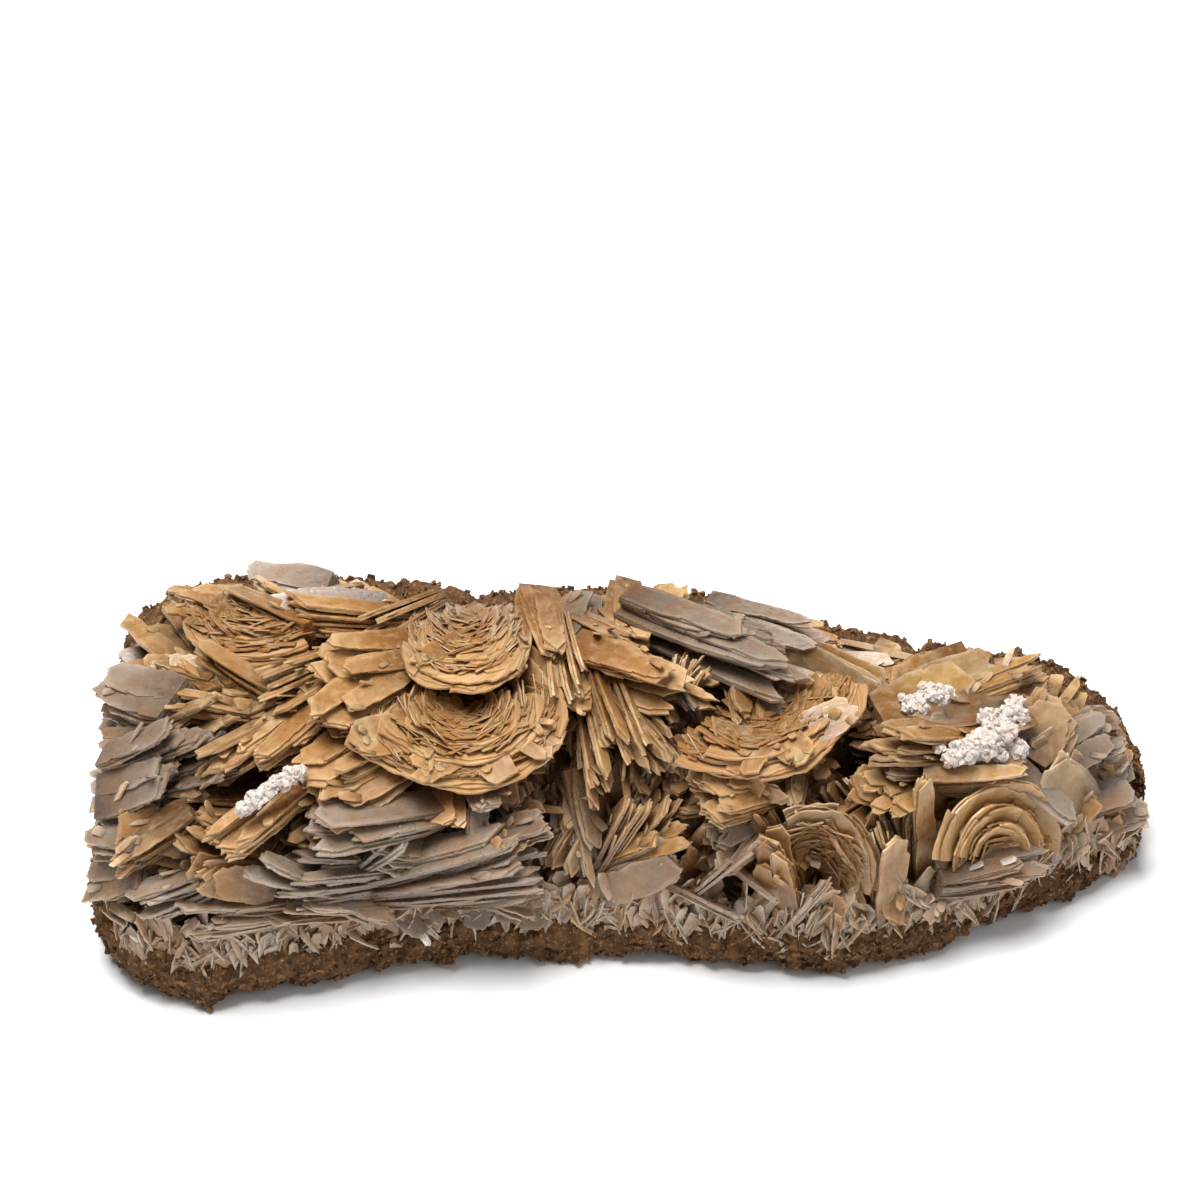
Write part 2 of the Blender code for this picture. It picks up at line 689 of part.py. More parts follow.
def build():
    """Make the rock, the crystals and the white crusts."""
    clear_scene()
    new_object("matrix", rock_shape().mesh("matrix"), make_material("brown_rock"))

    crystals = new_object("barite_crystals", mass_shape().mesh("barite_crystals"))
    combine(crystals, new_object("blades", blade_shape().mesh("blades")), "UNION", True)
    cutter = swell(rock_shape().mesh("rock_cutter"), CUT_GAP)
    combine(crystals, new_object("rock_cutter", cutter), "DIFFERENCE")

    white = make_material("white_crust")
    for name, lumps in WHITE_LUMPS.items():
        parts = [shape.mesh(name) for shape in white_shapes(lumps)]
        crust = new_object(name, parts[0], white)
        for part in parts[1:]:
            combine(crust, new_object("lump", part), "UNION")
        keep_main_shell(crust)
        thin_out(crust, WHITE_TRIANGLES)
        for shape in white_shapes(lumps):
            pocket = swell(shape.mesh("pocket"), CUT_GAP)
            combine(crystals, new_object("pocket", pocket), "DIFFERENCE")

    keep_main_shell(crystals)
    close_short_edges(crystals)
    crystals.data.materials.clear()
    crystals.data.materials.append(make_material("tan_barite"))


build()
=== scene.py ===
"""Visual model of a barite specimen: bladed crystals grown over a slab of brown rock.

Lengths are in millimetres until the meshes are written, which are in metres.
+X runs to the right along the specimen, +Y to its bare rock back, +Z up.
The crystals cover a show face that slopes up from the front edge. A place on it
is given by x and by its rise: the height at which a viewer looking down at
VIEW_ANGLE sees it. A third value, out, moves the place towards that viewer.
"""

import math
import random
from dataclasses import dataclass

import bmesh
import bpy
import numpy as np
from mathutils import Matrix, Vector, noise


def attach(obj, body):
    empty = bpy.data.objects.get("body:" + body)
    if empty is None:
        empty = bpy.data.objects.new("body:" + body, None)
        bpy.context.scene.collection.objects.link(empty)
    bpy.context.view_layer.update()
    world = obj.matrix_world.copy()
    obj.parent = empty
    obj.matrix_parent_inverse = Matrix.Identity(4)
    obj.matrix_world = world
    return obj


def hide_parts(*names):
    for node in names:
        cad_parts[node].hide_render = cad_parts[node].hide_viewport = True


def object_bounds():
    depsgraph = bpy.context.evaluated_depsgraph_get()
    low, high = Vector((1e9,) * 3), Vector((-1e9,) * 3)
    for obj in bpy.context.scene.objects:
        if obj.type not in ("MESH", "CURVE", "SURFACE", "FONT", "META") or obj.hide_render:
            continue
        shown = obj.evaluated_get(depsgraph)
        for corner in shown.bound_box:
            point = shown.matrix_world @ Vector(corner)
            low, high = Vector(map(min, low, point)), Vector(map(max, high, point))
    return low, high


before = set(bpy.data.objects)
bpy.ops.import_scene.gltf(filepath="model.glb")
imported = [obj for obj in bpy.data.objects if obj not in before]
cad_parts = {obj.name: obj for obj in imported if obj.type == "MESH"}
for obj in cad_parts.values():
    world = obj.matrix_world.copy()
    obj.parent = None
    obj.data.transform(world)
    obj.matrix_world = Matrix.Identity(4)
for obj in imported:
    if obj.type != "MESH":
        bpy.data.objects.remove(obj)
CAD_LOW, CAD_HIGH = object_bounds()

MM = 0.001
SEED = 20
VIEW_ANGLE = math.radians(40)
SHARP_ANGLE = math.radians(40)
# The meshes stay inside the box of the solids by this gap
BOX_GAP = 0.05
TINY = 0.001

# Cross sections of the whole specimen: x, front edge, back edge, top, height of the rock band in front
SECTIONS = (
    (-100, -12, 32, 30, 12),
    (-96, -24, 42, 42, 13),
    (-88, -33, 47, 49, 14),
    (-76, -37, 48, 53, 15),
    (-60, -33, 47, 54, 15),
    (-45, -28, 45, 52, 14),
    (-25, -24, 42, 50, 13),
    (0, -23, 43, 54, 12),
    (20, -25, 40, 51, 13),
    (40, -28, 35, 47, 14),
    (60, -21, 31, 44, 13),
    (80, -9, 29, 41, 12),
    (92, -3, 26, 35, 11),
    (98, 2, 22, 29, 10),
    (101, 6, 17, 22, 9),
)
PROFILE_POWER = 2.6
# Depth under the outline, which sets the painted shade in the crystal's depths, grows from the ends by this
# much a millimetre
END_DEPTH = 0.7
# The show face is tabled by whole x and by steps of rise
FACE_STEPS = 160
FACE_XS = (-105, 105)
FACE_RISES = (-40.0, 75.0)
FACE_RISE_STEP = 0.5
# Where the frame's origin lies in these millimetres
CENTRE = Vector((0.4, 4.3, 0.0))

# Camera: focal length, distance to the target, and where the target lies off the middle of the picture
LENS = 87.0
SENSOR = 36.0
CAMERA_DISTANCE = 550.0
TARGET = Vector((0.0, 0.0, 24.0))
TARGET_RIGHT = 24.0 / 2900.0
TARGET_DOWN = 186.0 / 2900.0

# Crystal colours
TINTS = {
    "gold": (0.59, 0.298, 0.082),
    "honey": (0.45, 0.197, 0.048),
    "brown": (0.20, 0.09, 0.03),
    "grey": (0.49, 0.385, 0.30),
    "white": (0.62, 0.51, 0.41),
    "taupe": (0.37, 0.255, 0.165),
    "orange": (0.48, 0.20, 0.042),
    "olive": (0.62, 0.36, 0.105),
    "amber": (0.48, 0.20, 0.045),
}
# How clear each tint is, as a share of light let through
CLEARNESS = {"grey": 0.50, "white": 0.45, "olive": 0.26, "taupe": 0.30}
GOLD_CLEARNESS = 0.20
# Pale cream of tips and streaks, also the painted glow on the rims of golden crystals
PALE = Vector((0.80, 0.585, 0.335))
# Whitish: colour of the boxwork's outer edges, and the painted glow on the rims of clear crystals
FROST_AND_RIM_GLOW = Vector((0.80, 0.70, 0.59))
# Painted shade, with some brown stain, that darkens the crystal in its depths under the outline
DEEP_SHADE_AND_STAIN = Vector((0.082, 0.033, 0.008))
# Painted shade that browns the leaves towards their roots, down among the other blades
ROOT_SHADE_BROWN = Vector((0.30, 0.122, 0.028))
# Stains in the crystal: between its layers, in clouds and in patches
LAYER_STAIN = (0.24, 0.105, 0.03)
CLOUD_STAIN = (0.30, 0.13, 0.035)
PATCH_STAIN = (0.38, 0.15, 0.032)
# Rock colours: two browns and a grey by place, then pits and pale specks
ROCK_BROWN = (0.085, 0.042, 0.018)
ROCK_ORANGE = (0.21, 0.09, 0.026)
ROCK_GREY = (0.13, 0.082, 0.05)
ROCK_PIT = (0.065, 0.033, 0.016)
ROCK_SPECK = (0.40, 0.24, 0.115)
CRUST_WHITE = Vector((0.63, 0.55, 0.49))
CRUST_STAIN = (0.62, 0.42, 0.30)
FLOOR_TINTS = ((0.90, 0.90, 0.90), (0.92, 0.92, 0.92))

# Books of crystal leaves: root and tip as (x, rise, out), width, thickness of a plate, roll, tint,
# and the number of plates and their splay where there is more than one plate
BOOKS = (
    # Upper left corner
    ((-73, 35, -6), (-95, 51, 1), 9, 2.2, 40, "gold", 2, 8),
    ((-64, 33, -7), (-85, 43.5, 2), 6.5, 2.2, 58, "gold", 3, 12),
    ((-73, 37, -6), (-88, 41.5, 1), 6, 1.6, 30, "honey", 2, 10),
    ((-71, 50, -6), (-88, 52, -1), 10, 1.6, 45, "honey", 3, 12),
    ((-59, 47, -3), (-79, 55.5, 0), 8, 1.6, 60, "brown", 3, 8),
    ((-46, 51, -2), (-68, 52, 1), 8, 2.6, 25, "grey", 2, 6),
    ((-57, 56, -3), (-74, 58, -1), 8, 1.8, 30, "white", 2, 8),
    ((-42, 49, -2), (-65.5, 50, 2), 8, 2.4, 65, "gold", 2, 5),
    ((-41, 42, -3), (-59.5, 38, 4), 10, 2.0, 25, "gold", 3, 14),
    ((-36, 52, -2), (-51, 42, 2), 8, 1.3, 82, "honey", 4, 16),
    ((-51, 42, -6), (-68.5, 32, 3), 7, 1.6, 72, "gold", 3, 12),
    ((-76, 37, -6), (-91, 40, 0), 6, 1.3, 50, "brown", 3, 18),
    ((-69, 31.5, -5), (-83.5, 33.8, 1), 6, 1.6, 50, "honey", 2, 8),
    # Left end, grey and layered
    ((-80, 31, -5), (-97, 34, -1), 12, 3.0, 32, "white", 3, 14),
    ((-90.5, 27, -8), (-69, 31, 2), 8, 2.2, 60, "brown", 2, 6),
    ((-90.5, 20.5, -6), (-69.5, 26, 3), 9, 3.0, 50, "grey", 3, 8),
    ((-92, 16, -4), (-76, 20, -2), 10, 2.5, 25, "grey", 2, 12),
    ((-87, 26, -4), (-96, 27, -1), 6, 2.0, 30, "white"),
    ((-89, 18, -4), (-97, 18.5, 0), 5, 1.8, 20, "white"),
    ((-86, 9, -4), (-97, 10, 0), 12, 2.0, 30, "white", 2, 12),
    ((-86, 2, -5), (-97, -1, -1), 9, 2.2, 25, "taupe", 2, 14),
    # Left of the middle: the long diagonal blades round the dark hollow
    ((-56, 33, -5), (-72, 17.5, 5), 7, 3.2, 30, "gold"),
    ((-60, 31, -7), (-75, 18.5, 3), 6, 1.6, 60, "honey", 2, 12),
    ((-43, 37, -4), (-59.5, 22.5, 5), 11, 2.2, 20, "gold", 3, 14),
    ((-41, 25.5, -5), (-54.3, 17, 3), 7, 2.2, 30, "gold", 2, 8),
    ((-41, 21, -3), (-56, 11.5, 3), 9, 1.6, 15, "honey", 2, 10),
    ((-53, 22, -8), (-71.5, 4.5, 5), 8.5, 4.6, 35, "orange"),
    ((-62, 14, -9), (-85, 13, 0), 8, 2.2, 60, "honey", 2, 8),
    ((-78, 9, -7), (-92, 12, 0), 12, 2.0, 0, "honey", 2, 14),
    ((-77, 12, -6), (-92, 1.5, 2), 7, 3.0, 30, "brown", 2, 8),
    ((-66, 7, -6), (-80, 12.5, 1), 8, 1.3, 45, "honey", 3, 12),
    ((-64, 1, -4), (-79, 3.5, 1), 9, 1.6, -20, "orange", 3, 14),
    # Lower left, grey ledges over the rock
    ((-76, 0.5, -4), (-89.5, -4.5, 2), 6, 2.6, 50, "white", 2, 8),
    ((-59, -3, -4), (-84, -7, 3), 8, 2.6, 40, "taupe", 2, 6),
    ((-40, 4, -5), (-65, 1.5, 0), 9, 1.8, 55, "grey", 3, 10),
    ((-44, -2, -4), (-67, -2.5, 0), 8, 1.8, 50, "taupe", 2, 8),
    ((-34, 13.5, -3), (-58, 8, 4), 9, 2.2, 40, "grey", 2, 8),
    ((-28, 5, -4), (-50, 6, 1), 9, 1.8, 40, "grey", 2, 8),
    ((-44, 1, -3), (-10, 6.5, 3), 9, 2.6, 48, "grey", 3, 8),
    ((-34, 0, -4), (-12, 0.5, 2), 9, 2.0, 10, "grey", 2, 10),
    ((-38, -3, -4), (-33, -8, 1), 8, 1.4, 10, "grey"),
    ((-31, 3, 0), (-15, 8.5, 4), 6, 1.2, 62, "white", 2, 16),
    ((-45, 5, 0), (-35, 12, 4), 5, 1.1, 58, "white", 2, 20),
    ((-56, 1, 0), (-66, 5, 4), 5, 1.1, 55, "white", 2, 18),
    ((-24, -2, 0), (-12, -7.5, 4), 5, 1.1, 40, "white", 2, 20),
    ((-50, -3, 0), (-41, -7.5, 3), 5, 1.1, 45, "white", 2, 18),
    ((-21, 9, 0), (-9.5, 12, 4), 6, 1.2, 35, "grey", 2, 20),
    ((-27, -1, -4), (-26, -9, 1), 8, 1.4, -15, "grey"),
    ((-18, -1, -4), (-18, -9, 1), 9, 1.4, 15, "grey"),
    # Small crystals under the middle rosette
    ((-33, 18, -5), (-31, 9.5, 3), 9, 1.6, 0, "gold"),
    ((-25, 18, -3), (-23, 13.5, 4), 7, 1.6, 10, "white"),
    ((-27, 6, -3), (-17, 11, 4), 7, 1.6, 30, "honey", 2, 16),
    ((-26, 14, -3), (-27.5, 4.5, 2), 5, 1.6, 30, "white", 2, 14),
    ((-23, 19, -6), (-12, 14.5, 1), 7, 1.8, -20, "taupe", 2, 14),
    # Broad plates on the rims of the rosettes
    ((-36, 28.5, 0), (-48.5, 25.5, 4.8), 8, 1.2, 14, "gold"),
    ((-30, 25, 0), (-38, 19.5, 4.8), 8, 1.2, 16, "gold"),
    ((-25, 24, 0), (-19, 18.8, 4.6), 8, 1.2, 14, "gold"),
    ((-19, 29, 0), (-10.5, 25, 4.6), 7, 1.2, 20, "honey"),
    ((-30, 44, 0), (-37, 39.5, 4.8), 8, 1.2, 14, "gold"),
    ((-25, 44.5, 0), (-19.5, 38.5, 4.8), 7, 1.2, 16, "gold"),
    ((36, 29, 0), (43.5, 33.5, 4.6), 8, 1.2, 18, "gold"),
    ((30, 27, 0), (34, 22.8, 4.6), 8, 1.2, 14, "gold"),
    ((24, 27, 0), (21, 20.4, 4.6), 8, 1.2, 14, "honey"),
    # Column of upright blades beside the middle
    ((-16, 54, -2), (-12.5, 36.5, 3), 9, 2.0, 20, "honey", 2, 12),
    ((-10.5, 48, -3), (-7.5, 32.5, 4), 6, 2.0, 75, "gold", 2, 6),
    ((-7, 42, -6), (-8, 28.5, 2), 8, 2.0, 10, "gold"),
    ((-10, 46, -3), (-5, 57, -1), 9, 1.6, 30, "grey", 2, 8),
    ((1.5, 57, -2), (0.5, 44.5, 1), 7, 2.0, 10, "gold"),
    ((-5, 36, -7), (0, 16.5, 4), 6, 2.0, 60, "honey", 3, 14),
    ((-1, 38, -6), (3, 22, 3), 5, 1.8, 65, "gold", 2, 14),
    ((-6, 32, -9), (-6.5, 19, -3), 6, 1.4, 60, "brown", 2, 14),
    ((-23, 45, -4), (-12, 32, 2), 8, 1.6, -30, "honey", 2, 14),
    ((-9, 20, -7), (-6, -4, 0), 7, 2.2, 40, "taupe", 3, 12),
    ((-4, 16, -7), (-13, 1, 0), 6, 1.8, -50, "brown", 2, 10),
    # Long diagonal blades of the upper right
    ((-6, 43, -4), (16.5, 33.5, 5), 9, 2.0, 30, "gold", 3, 10),
    ((-7, 49, -4), (4, 42.5, 1), 6, 1.4, 60, "honey", 2, 8),
    ((3, 50.5, -3), (37, 34, 5), 9, 3.0, 46, "grey", 3, 9),
    ((6, 48, -4), (10.5, 55.5, -1), 9, 2.0, 10, "gold", 2, 12),
    ((15, 50.5, -3), (33, 43.5, 1), 6, 1.6, 60, "grey", 2, 6),
    ((18, 51, -4), (41, 42, 1), 9, 2.0, 30, "grey", 2, 12),
    ((33, 43, -3), (51, 36, -1), 11, 2.4, -20, "olive"),
    ((12, 36, -6), (14, 43.5, 1), 4, 1.2, 70, "honey", 3, 32),
    ((10, 38, -7), (11.5, 26.5, 0), 5, 1.5, 50, "taupe", 3, 28),
    ((22, 40, -8), (22.5, 29.5, 0), 7, 2.4, 40, "brown"),
    ((0, 33, -7), (10.5, 20.5, 2), 6, 2.2, -40, "brown", 2, 8),
    # Bright ledge under the right bowl
    ((28, 22, -6), (11, 19.5, 1), 9, 1.8, 30, "gold", 2, 8),
    ((27, 19, -6), (12.5, 14.5, 3), 10, 2.0, 25, "gold", 2, 12),
    ((18, 19, -4), (32, 17.5, 2), 7, 1.6, -30, "gold"),
    # Lower middle and right, over the rock
    ((33, 27, -8), (31, 12.5, 1), 5.5, 2.8, 30, "brown"),
    ((31, -1, -5), (27, 14.5, 1), 8, 2.0, -30, "orange", 3, 12),
    ((26, 13, -7), (16.5, 4.5, 3), 10, 3.4, -10, "taupe"),
    ((-2, 4, -6), (7.5, 18, 2), 6, 1.6, 70, "honey", 3, 16),
    ((-2, 6, -6), (13, 11.5, 3), 5.5, 2.6, 20, "gold"),
    ((-3, 0, -5), (14, 8, -1), 10, 2.0, -20, "taupe", 2, 12),
    ((12, -2, -6), (11, 7, 0), 8, 1.6, 20, "honey"),
    ((14.5, -0.5, -1), (25, 8.7, 5), 4, 1.4, 78, "white"),
    ((9.5, 0.5, -1), (23.5, -6, 3), 4, 1.4, 75, "white"),
    ((21, 4, -1), (30, -3, 2), 4, 1.3, 70, "taupe"),
    ((31, -7.5, -2), (38.7, 1.8, 4), 3.5, 1.5, 75, "taupe"),
    ((36, -7, -4), (40.5, -0.5, 0), 9, 1.5, 10, "honey"),
    ((52, -2, -6), (41.5, 14.5, 1), 8, 1.4, 70, "brown", 3, 14),
    ((49, -4, -4), (48.5, 14.5, 2), 9, 2.2, 35, "amber", 2, 8),
    ((50, 4, -5), (50.5, -7.5, 2), 6, 2.0, 20, "honey"),
    ((56, 3, -6), (54.5, 21, 3), 6, 3.0, 25, "gold"),
    ((60, 1, -5), (54, -6, 0), 8, 1.6, 10, "taupe"),
    # Right end, olive and translucent
    ((48, 32, -5), (78, 42.5, -1), 12, 2.0, 20, "olive", 3, 14),
    ((62, 34, -5), (83.5, 40, 1), 6, 2.4, 50, "olive", 2, 5),
    ((73, 34, -4), (52, 30, 0), 9, 2.4, 25, "taupe"),
    ((66, 41, -5), (47, 33, -1), 12, 2.0, 10, "orange"),
    ((65, 27, -5), (43.5, 26.5, 4), 8, 2.6, 55, "honey", 2, 4),
    ((62, 24.5, -5), (44.5, 23.5, 2), 7, 1.4, 65, "brown"),
    ((57, 22, -6), (48, 21.5, 0), 6, 1.8, 30, "taupe"),
    ((52, 18, -6), (41, 20, 1), 8, 1.6, 15, "gold"),
    ((55, 19, -6), (45.5, 15, 2), 8, 1.6, 20, "gold"),
    ((57, 22, -4), (77, 23.5, 1), 9, 2.4, 30, "olive", 2, 8),
    ((76, 30.5, 0), (70.5, 28.5, 4.5), 3, 1.2, 20, "orange"),
    ((77, 25, -5), (84.5, 37, 0), 12, 2.0, 0, "olive", 2, 12),
    ((88, 13, -6), (76, 28, 1), 13, 2.0, 10, "olive", 2, 8),
    ((84, 13, -6), (92.5, 20, 1), 11, 1.6, 0, "olive"),
    ((72, 23, -2), (86, 11.5, 3), 8, 3.0, 40, "white"),
    ((83, 25, -5), (93.5, 30.5, -1), 10, 1.5, -10, "white", 2, 18),
    ((89, 18, -7), (101, 22, -1), 11, 2.0, 10, "white", 2, 16),
    ((91, 12, -6), (102, 15.5, -2), 9, 2.0, 10, "white", 2, 12),
    ((93, 7, -6), (93.5, 16, -2), 7, 1.5, 0, "brown"),
    ((60, 2, -4), (82, 6, 0), 8, 3.0, 30, "white", 2, 10),
    ((60, -0.5, -3), (88, 4.5, 0), 6, 2.8, 30, "white"),
)
ROOT_DEPTH = 2.0
PLATE_PITCH = 1.15
BLADE_THICK = 1.15
BLADE_FILL = (0.78, 0.96)
BLADE_LENGTHS = (1.0, 0.97, 0.92, 0.84, 0.72)
# Layers of a book: how many crystals lie side by side in wide and narrow ones, their widths,
# shifts and turns, and how the front layers are smaller
WIDE_LAYER = 5
WIDE_STRIPS = (1, 1, 2, 2, 3)
NARROW_STRIPS = (1, 1, 1, 2)
LONE_WIDTH = (0.82, 1.0)
STRIP_SPREAD = 0.9
STRIP_OVERLAP = (1.05, 1.5)
STRIP_SHIFT = (-0.06, 0.06)
BLADE_YAW = (-4, 4)
BLADE_LEAN = (-2, 2)
BOOK_NARROWING = 0.10
BOOK_SHORTENING = 0.09
# Blades mix their book's tint with a paler one at this chance, and otherwise with a darker one
PALER_CHANCE = 0.45
GOLDEN_MIX = 0.28
CLEAR_MIX = 0.42

# Leaves: pitch in a blade, share of the pitch filled, bend, and how the outer leaves are smaller
LEAF_PITCH = 0.50
LEAF_FILL = 0.86
LEAF_BEND = (-0.02, 0.02)
OUTER_NARROWER = 0.16
OUTER_SHORTER = 0.07
LEAF_NARROWER = (0, 0.04)
LEAF_SHORTER = (0, 0.025)

# Outline of a leaf, as shares of its length and width
LEAF_STATIONS = (0.22, 0.40, 0.56, 0.70, 0.81, 0.90)
COARSE_STATIONS = (0.5, 0.88)
STATION_SHIFT = (-0.045, 0.045)
ROOT_HALF = 0.36
LEAF_HALF = (0.42, 0.50)
HALF_LIMITS = (0.30, 0.54)
LOBE_STEP = (-0.08, 0.06)
NARROWING = (0.2, 0.9)
NARROWS_FROM = 0.62
NOTCH_CHANCE = 0.4
NOTCH_RUN = 0.008
NOTCH_DEPTH = (0.02, 0.06)
APEX_SHIFT = (-0.24, 0.24)
APEX_BLUNT = (0.02, 0.10)
CHISEL_ENDS = ((0.96, 0.985), (0.96, 0.99))

# Colour of a leaf: pale from TIP_FROM to its tip, browned by painted shade up to ROOT_TO, darkened by
# painted shade up to DARK_TO, and with a pale rim of painted glow round a darker inner ring
TEXTURE_SHIFT = (0, 50)
LEAF_SHADE = (0.84, 1.10)
TIP_FROM = 0.6
ROOT_TO = 0.7
DARK_TO = 0.6
ROOT_SHADE_LEVEL = 0.50
# Painted glow: how far the rim of a leaf is paled, as if light shone through its thin edge
RIM_GLOW = 0.38
INNER_START = 0.04
INNER_LENGTH = 0.90
INNER_WIDTH = 0.70
INNER_SHADE = 0.86
# Crystals clearer than this count as clear. A look is the tip's paleness, the strength of the root's painted
# shade and the tint of the rim's painted glow
CLEAR_ABOVE = 0.25
GOLDEN_LOOK = (0.35, 0.75, PALE)
CLEAR_LOOK = (0.05, 0.45, FROST_AND_RIM_GLOW)
# Blades on edge: thickness of their outer edge, as a share of that of the inner one
EDGE_TAPER = 0.55
EDGE_CLEARNESS = 0.25

# Tiny crystals on the broad faces of the blades
OVERGROWTH_COUNTS = (0, 0, 1, 2)
OVERGROWTH_ALONG = (0.2, 0.85)
OVERGROWTH_ACROSS = (-0.4, 0.4)
OVERGROWTH_YAW = (-40, 40)
OVERGROWTH_TILT = (6, 24)
OVERGROWTH_LENGTH = (1.8, 5.0)
OVERGROWTH_WIDTH = (0.8, 2.2)
OVERGROWTH_THICK = (0.2, 0.4)

# Rosettes of curved sheets: centre (x, rise), radii, inner share, arc, out at base and rim,
# thickness, sheets, shrink, steps of base and rim between sheets, tint, tint of the upper half,
# share of the radius covered with small plates, and the rim's reach at some angles
ROSETTES = (
    (
        (-29, 53), (12.5, 15.5), 0.10, (188, 350), (-6, 3.5),
        1.6, 2, 0.72, 1.9, -0.6, "gold", "grey", 0.84,
        ((188, 0.90), (230, 1.14), (266, 1.03), (314, 1.20), (350, 0.90)),
    ),
    (
        (-28, 33.5), (18.5, 14.5), 0.10, (160, 375), (-8.5, 3.0),
        1.8, 3, 0.72, 2.1, -0.6, "gold", "honey", 0.86,
        (
            (160, 0.80), (178, 0.86), (205, 1.19), (222, 1.06), (245, 1.03),
            (264, 1.0), (293, 1.05), (331, 1.06), (375, 0.92),
        ),
    ),
    (
        (25, 37.5), (19.5, 17.0), 0.22, (228, 362), (-9, 3.5),
        1.8, 2, 0.80, 2.1, -0.6, "honey", "orange", 0.84,
        ((228, 1.18), (256, 1.05), (285, 0.98), (311, 0.94), (336, 0.96), (362, 1.0)),
    ),
    (
        (71, 4.5), (12.5, 14.5), 0.25, (5, 178), (-6, 2.5),
        1.4, 3, 0.66, 0.0, 0.0, "gold", "gold", 0.72,
        ((5, 0.95), (60, 1.05), (120, 1.0), (178, 1.0)),
    ),
    (
        (-67, 54.5), (17.0, 12.5), 0.20, (178, 305), (-5, 0.5),
        1.8, 2, 0.74, 2.1, 0.4, "honey", "brown", 0.86,
        ((178, 1.0), (240, 1.08), (305, 1.0)),
    ),
    (
        (35, 1), (11.5, 13.0), 0.30, (-10, 115), (-6, 1.5),
        2.4, 1, 0.85, 0.0, 0.0, "amber", "brown", 0.78,
        ((-10, 1.0), (60, 1.06), (115, 1.0)),
    ),
)
RIM_POWER = 1.6
# Steps over which a sheet's directions are measured
SHARE_STEP = 0.04
TURN_STEP = 0.06

# Thin curved layers of the sheets: pitch, share filled, degrees of one layer and of a step along it,
# rows across it, reach, random lift, wave of the rim, and the painted glow on the rim
TERRACE_THICK = 0.42
TERRACE_FILL = 0.9
SECTOR = (35, 95)
LAST_SECTOR = 18
SECTOR_OVERLAP = 4
TERRACE_STEP = 3.5
TERRACE_ROWS = 7
TERRACE_ROW_POWER = 0.8
TERRACE_REACH = (0.90, 1.02)
TERRACE_LIFT = (-0.16, 0.16)
TERRACE_SHADE = (0.9, 1.06)
RIM_WAVE = 0.07
RIM_RIPPLE = 0.3
# Painted glow that pales the outer rows of each layer
TERRACE_RIM_GLOW = 0.45
# Painted shade that browns the layers towards the sheet's deep centre
TERRACE_CENTRE_SHADE = 0.60
# Each inner sheet starts and ends this many degrees within the one before
SHEET_INSET = (7, 5)

# Small plates that stand on the sheets
SCALES_PER_AREA = 1.05
SCALE_LENGTH = (2.5, 8.5)
SCALE_WIDTH = (2.4, 4.6)
SCALE_THICK = (0.3, 0.6)
SCALE_TILT = (8, 38)
SCALE_TURN_SPREAD = 27
INNER_SHORTER = 0.55
INNER_NARROWER = 0.4
SCALE_LIFT = 0.25

# Dark hollows between the blades: x, rise, radius, added depth
HOLLOWS = (
    (-80, 47, 7, 5),
    (-65, 17, 8, 7),
    (-42, 18, 6, 4),
    (-7, 26, 6, 5),
    (18, 33, 8, 7),
    (44, 24, 8, 6),
    (56, 8, 5, 3),
    (92, 12, 5, 4),
)

# Small crystals that fill the show face between the books
FILLER_COUNT = 1350
FILLER_LENGTH = (5, 12)
FILLER_WIDTH = (2.2, 4.8)
FILLER_THICK = (0.5, 0.95)
FILLER_BLADES = (1, 2, 2, 3)
FILLER_PITCH = 0.95
FILLER_FAN = 4
FILLER_YAW = (-6, 6)
FILLER_SHIFT = (-0.8, 0.8)
FILLER_SLANT = 2
FILLER_BROWN = (0.1, 0.6)
FILLER_TURN = (-28, 28)
FILLER_ROLL = (-30, 30)
FILLER_DEPTH = (-9.0, -4.5)
FILLER_ENDS = (-98, 99)
FILLER_CLEARNESS = 0.05
HOLLOW_SKIPPED = 0.8

# Small blades on edge along the rock band
BOXWORK_COUNT = 1000
BOXWORK_RANGE = (-92, 99)
BOXWORK_BAND = (-5.0, 6.5, 0.0)
BOXWORK_LENGTH = (2.8, 6.5)
BOXWORK_WIDTH = (1.8, 4.2)
BOXWORK_THICK = (0.25, 0.55)
BOXWORK_ANGLES = (35, 58, 80, 100, 122, 145)
BOXWORK_TURN = (-12, 12)
BOXWORK_ROLL = (5, 72)
BOXWORK_DEPTH = (-1.2, 0.4)

# Ledges of crystal on the two ends: root x, tip x, count, tints
END_LEDGES = (
    (-86, -98.0, 170, ("grey", "white", "taupe", "honey")),
    (89, 99.5, 70, ("white", "grey", "taupe")),
)
LEDGE_WIDTH = (4, 9)
LEDGE_THICK = (0.8, 2.0)
LEDGE_CLEARNESS = 0.35

# The crystal mass under the books: columns, rows, share of the outline, and depth under it
MASS_COLUMNS = 150
MASS_ROWS = 46
MASS_ENDS = (7, 5)
MASS_FROM = 0.02
MASS_SPAN = 0.90
MASS_INSET = 6.5
MASS_FOOT = ((0, 8, -2), (0, -8, -2))
MASS_LUMPS = ((6, 2.0), (1.7, 0.9))

# The rock: sections along it, points round it, grains on it
ROCK_SECTIONS = 360
ROCK_AROUND = 120
ROCK_LUMPS = ((9, 1.6), (4, 0.8))
PIT_SIZE = 2.6
PIT_FROM = 0.25
PIT_DEPTH = 3.0
ROCK_RIDGE = 0.80
ROCK_END_SHARES = (0.03, 0.2, 0.36, 0.5, 0.62, 0.73, 0.82, 0.9, 0.96)
ROCK_END_REACH = 1.5
# Share of the depth that the crystals cover, where the rock has no grains
CRYSTAL_REACH = 0.62
ROCK_GRAINS = 11000
GRAIN_SIZE = (0.5, 1.7)
GRAIN_TILT = 0.9
GRAIN_HALF = (0.4, 0.6)
GRAIN_THIN = (0.10, 0.2)
GRAIN_SHADE = (0.5, 1.9)

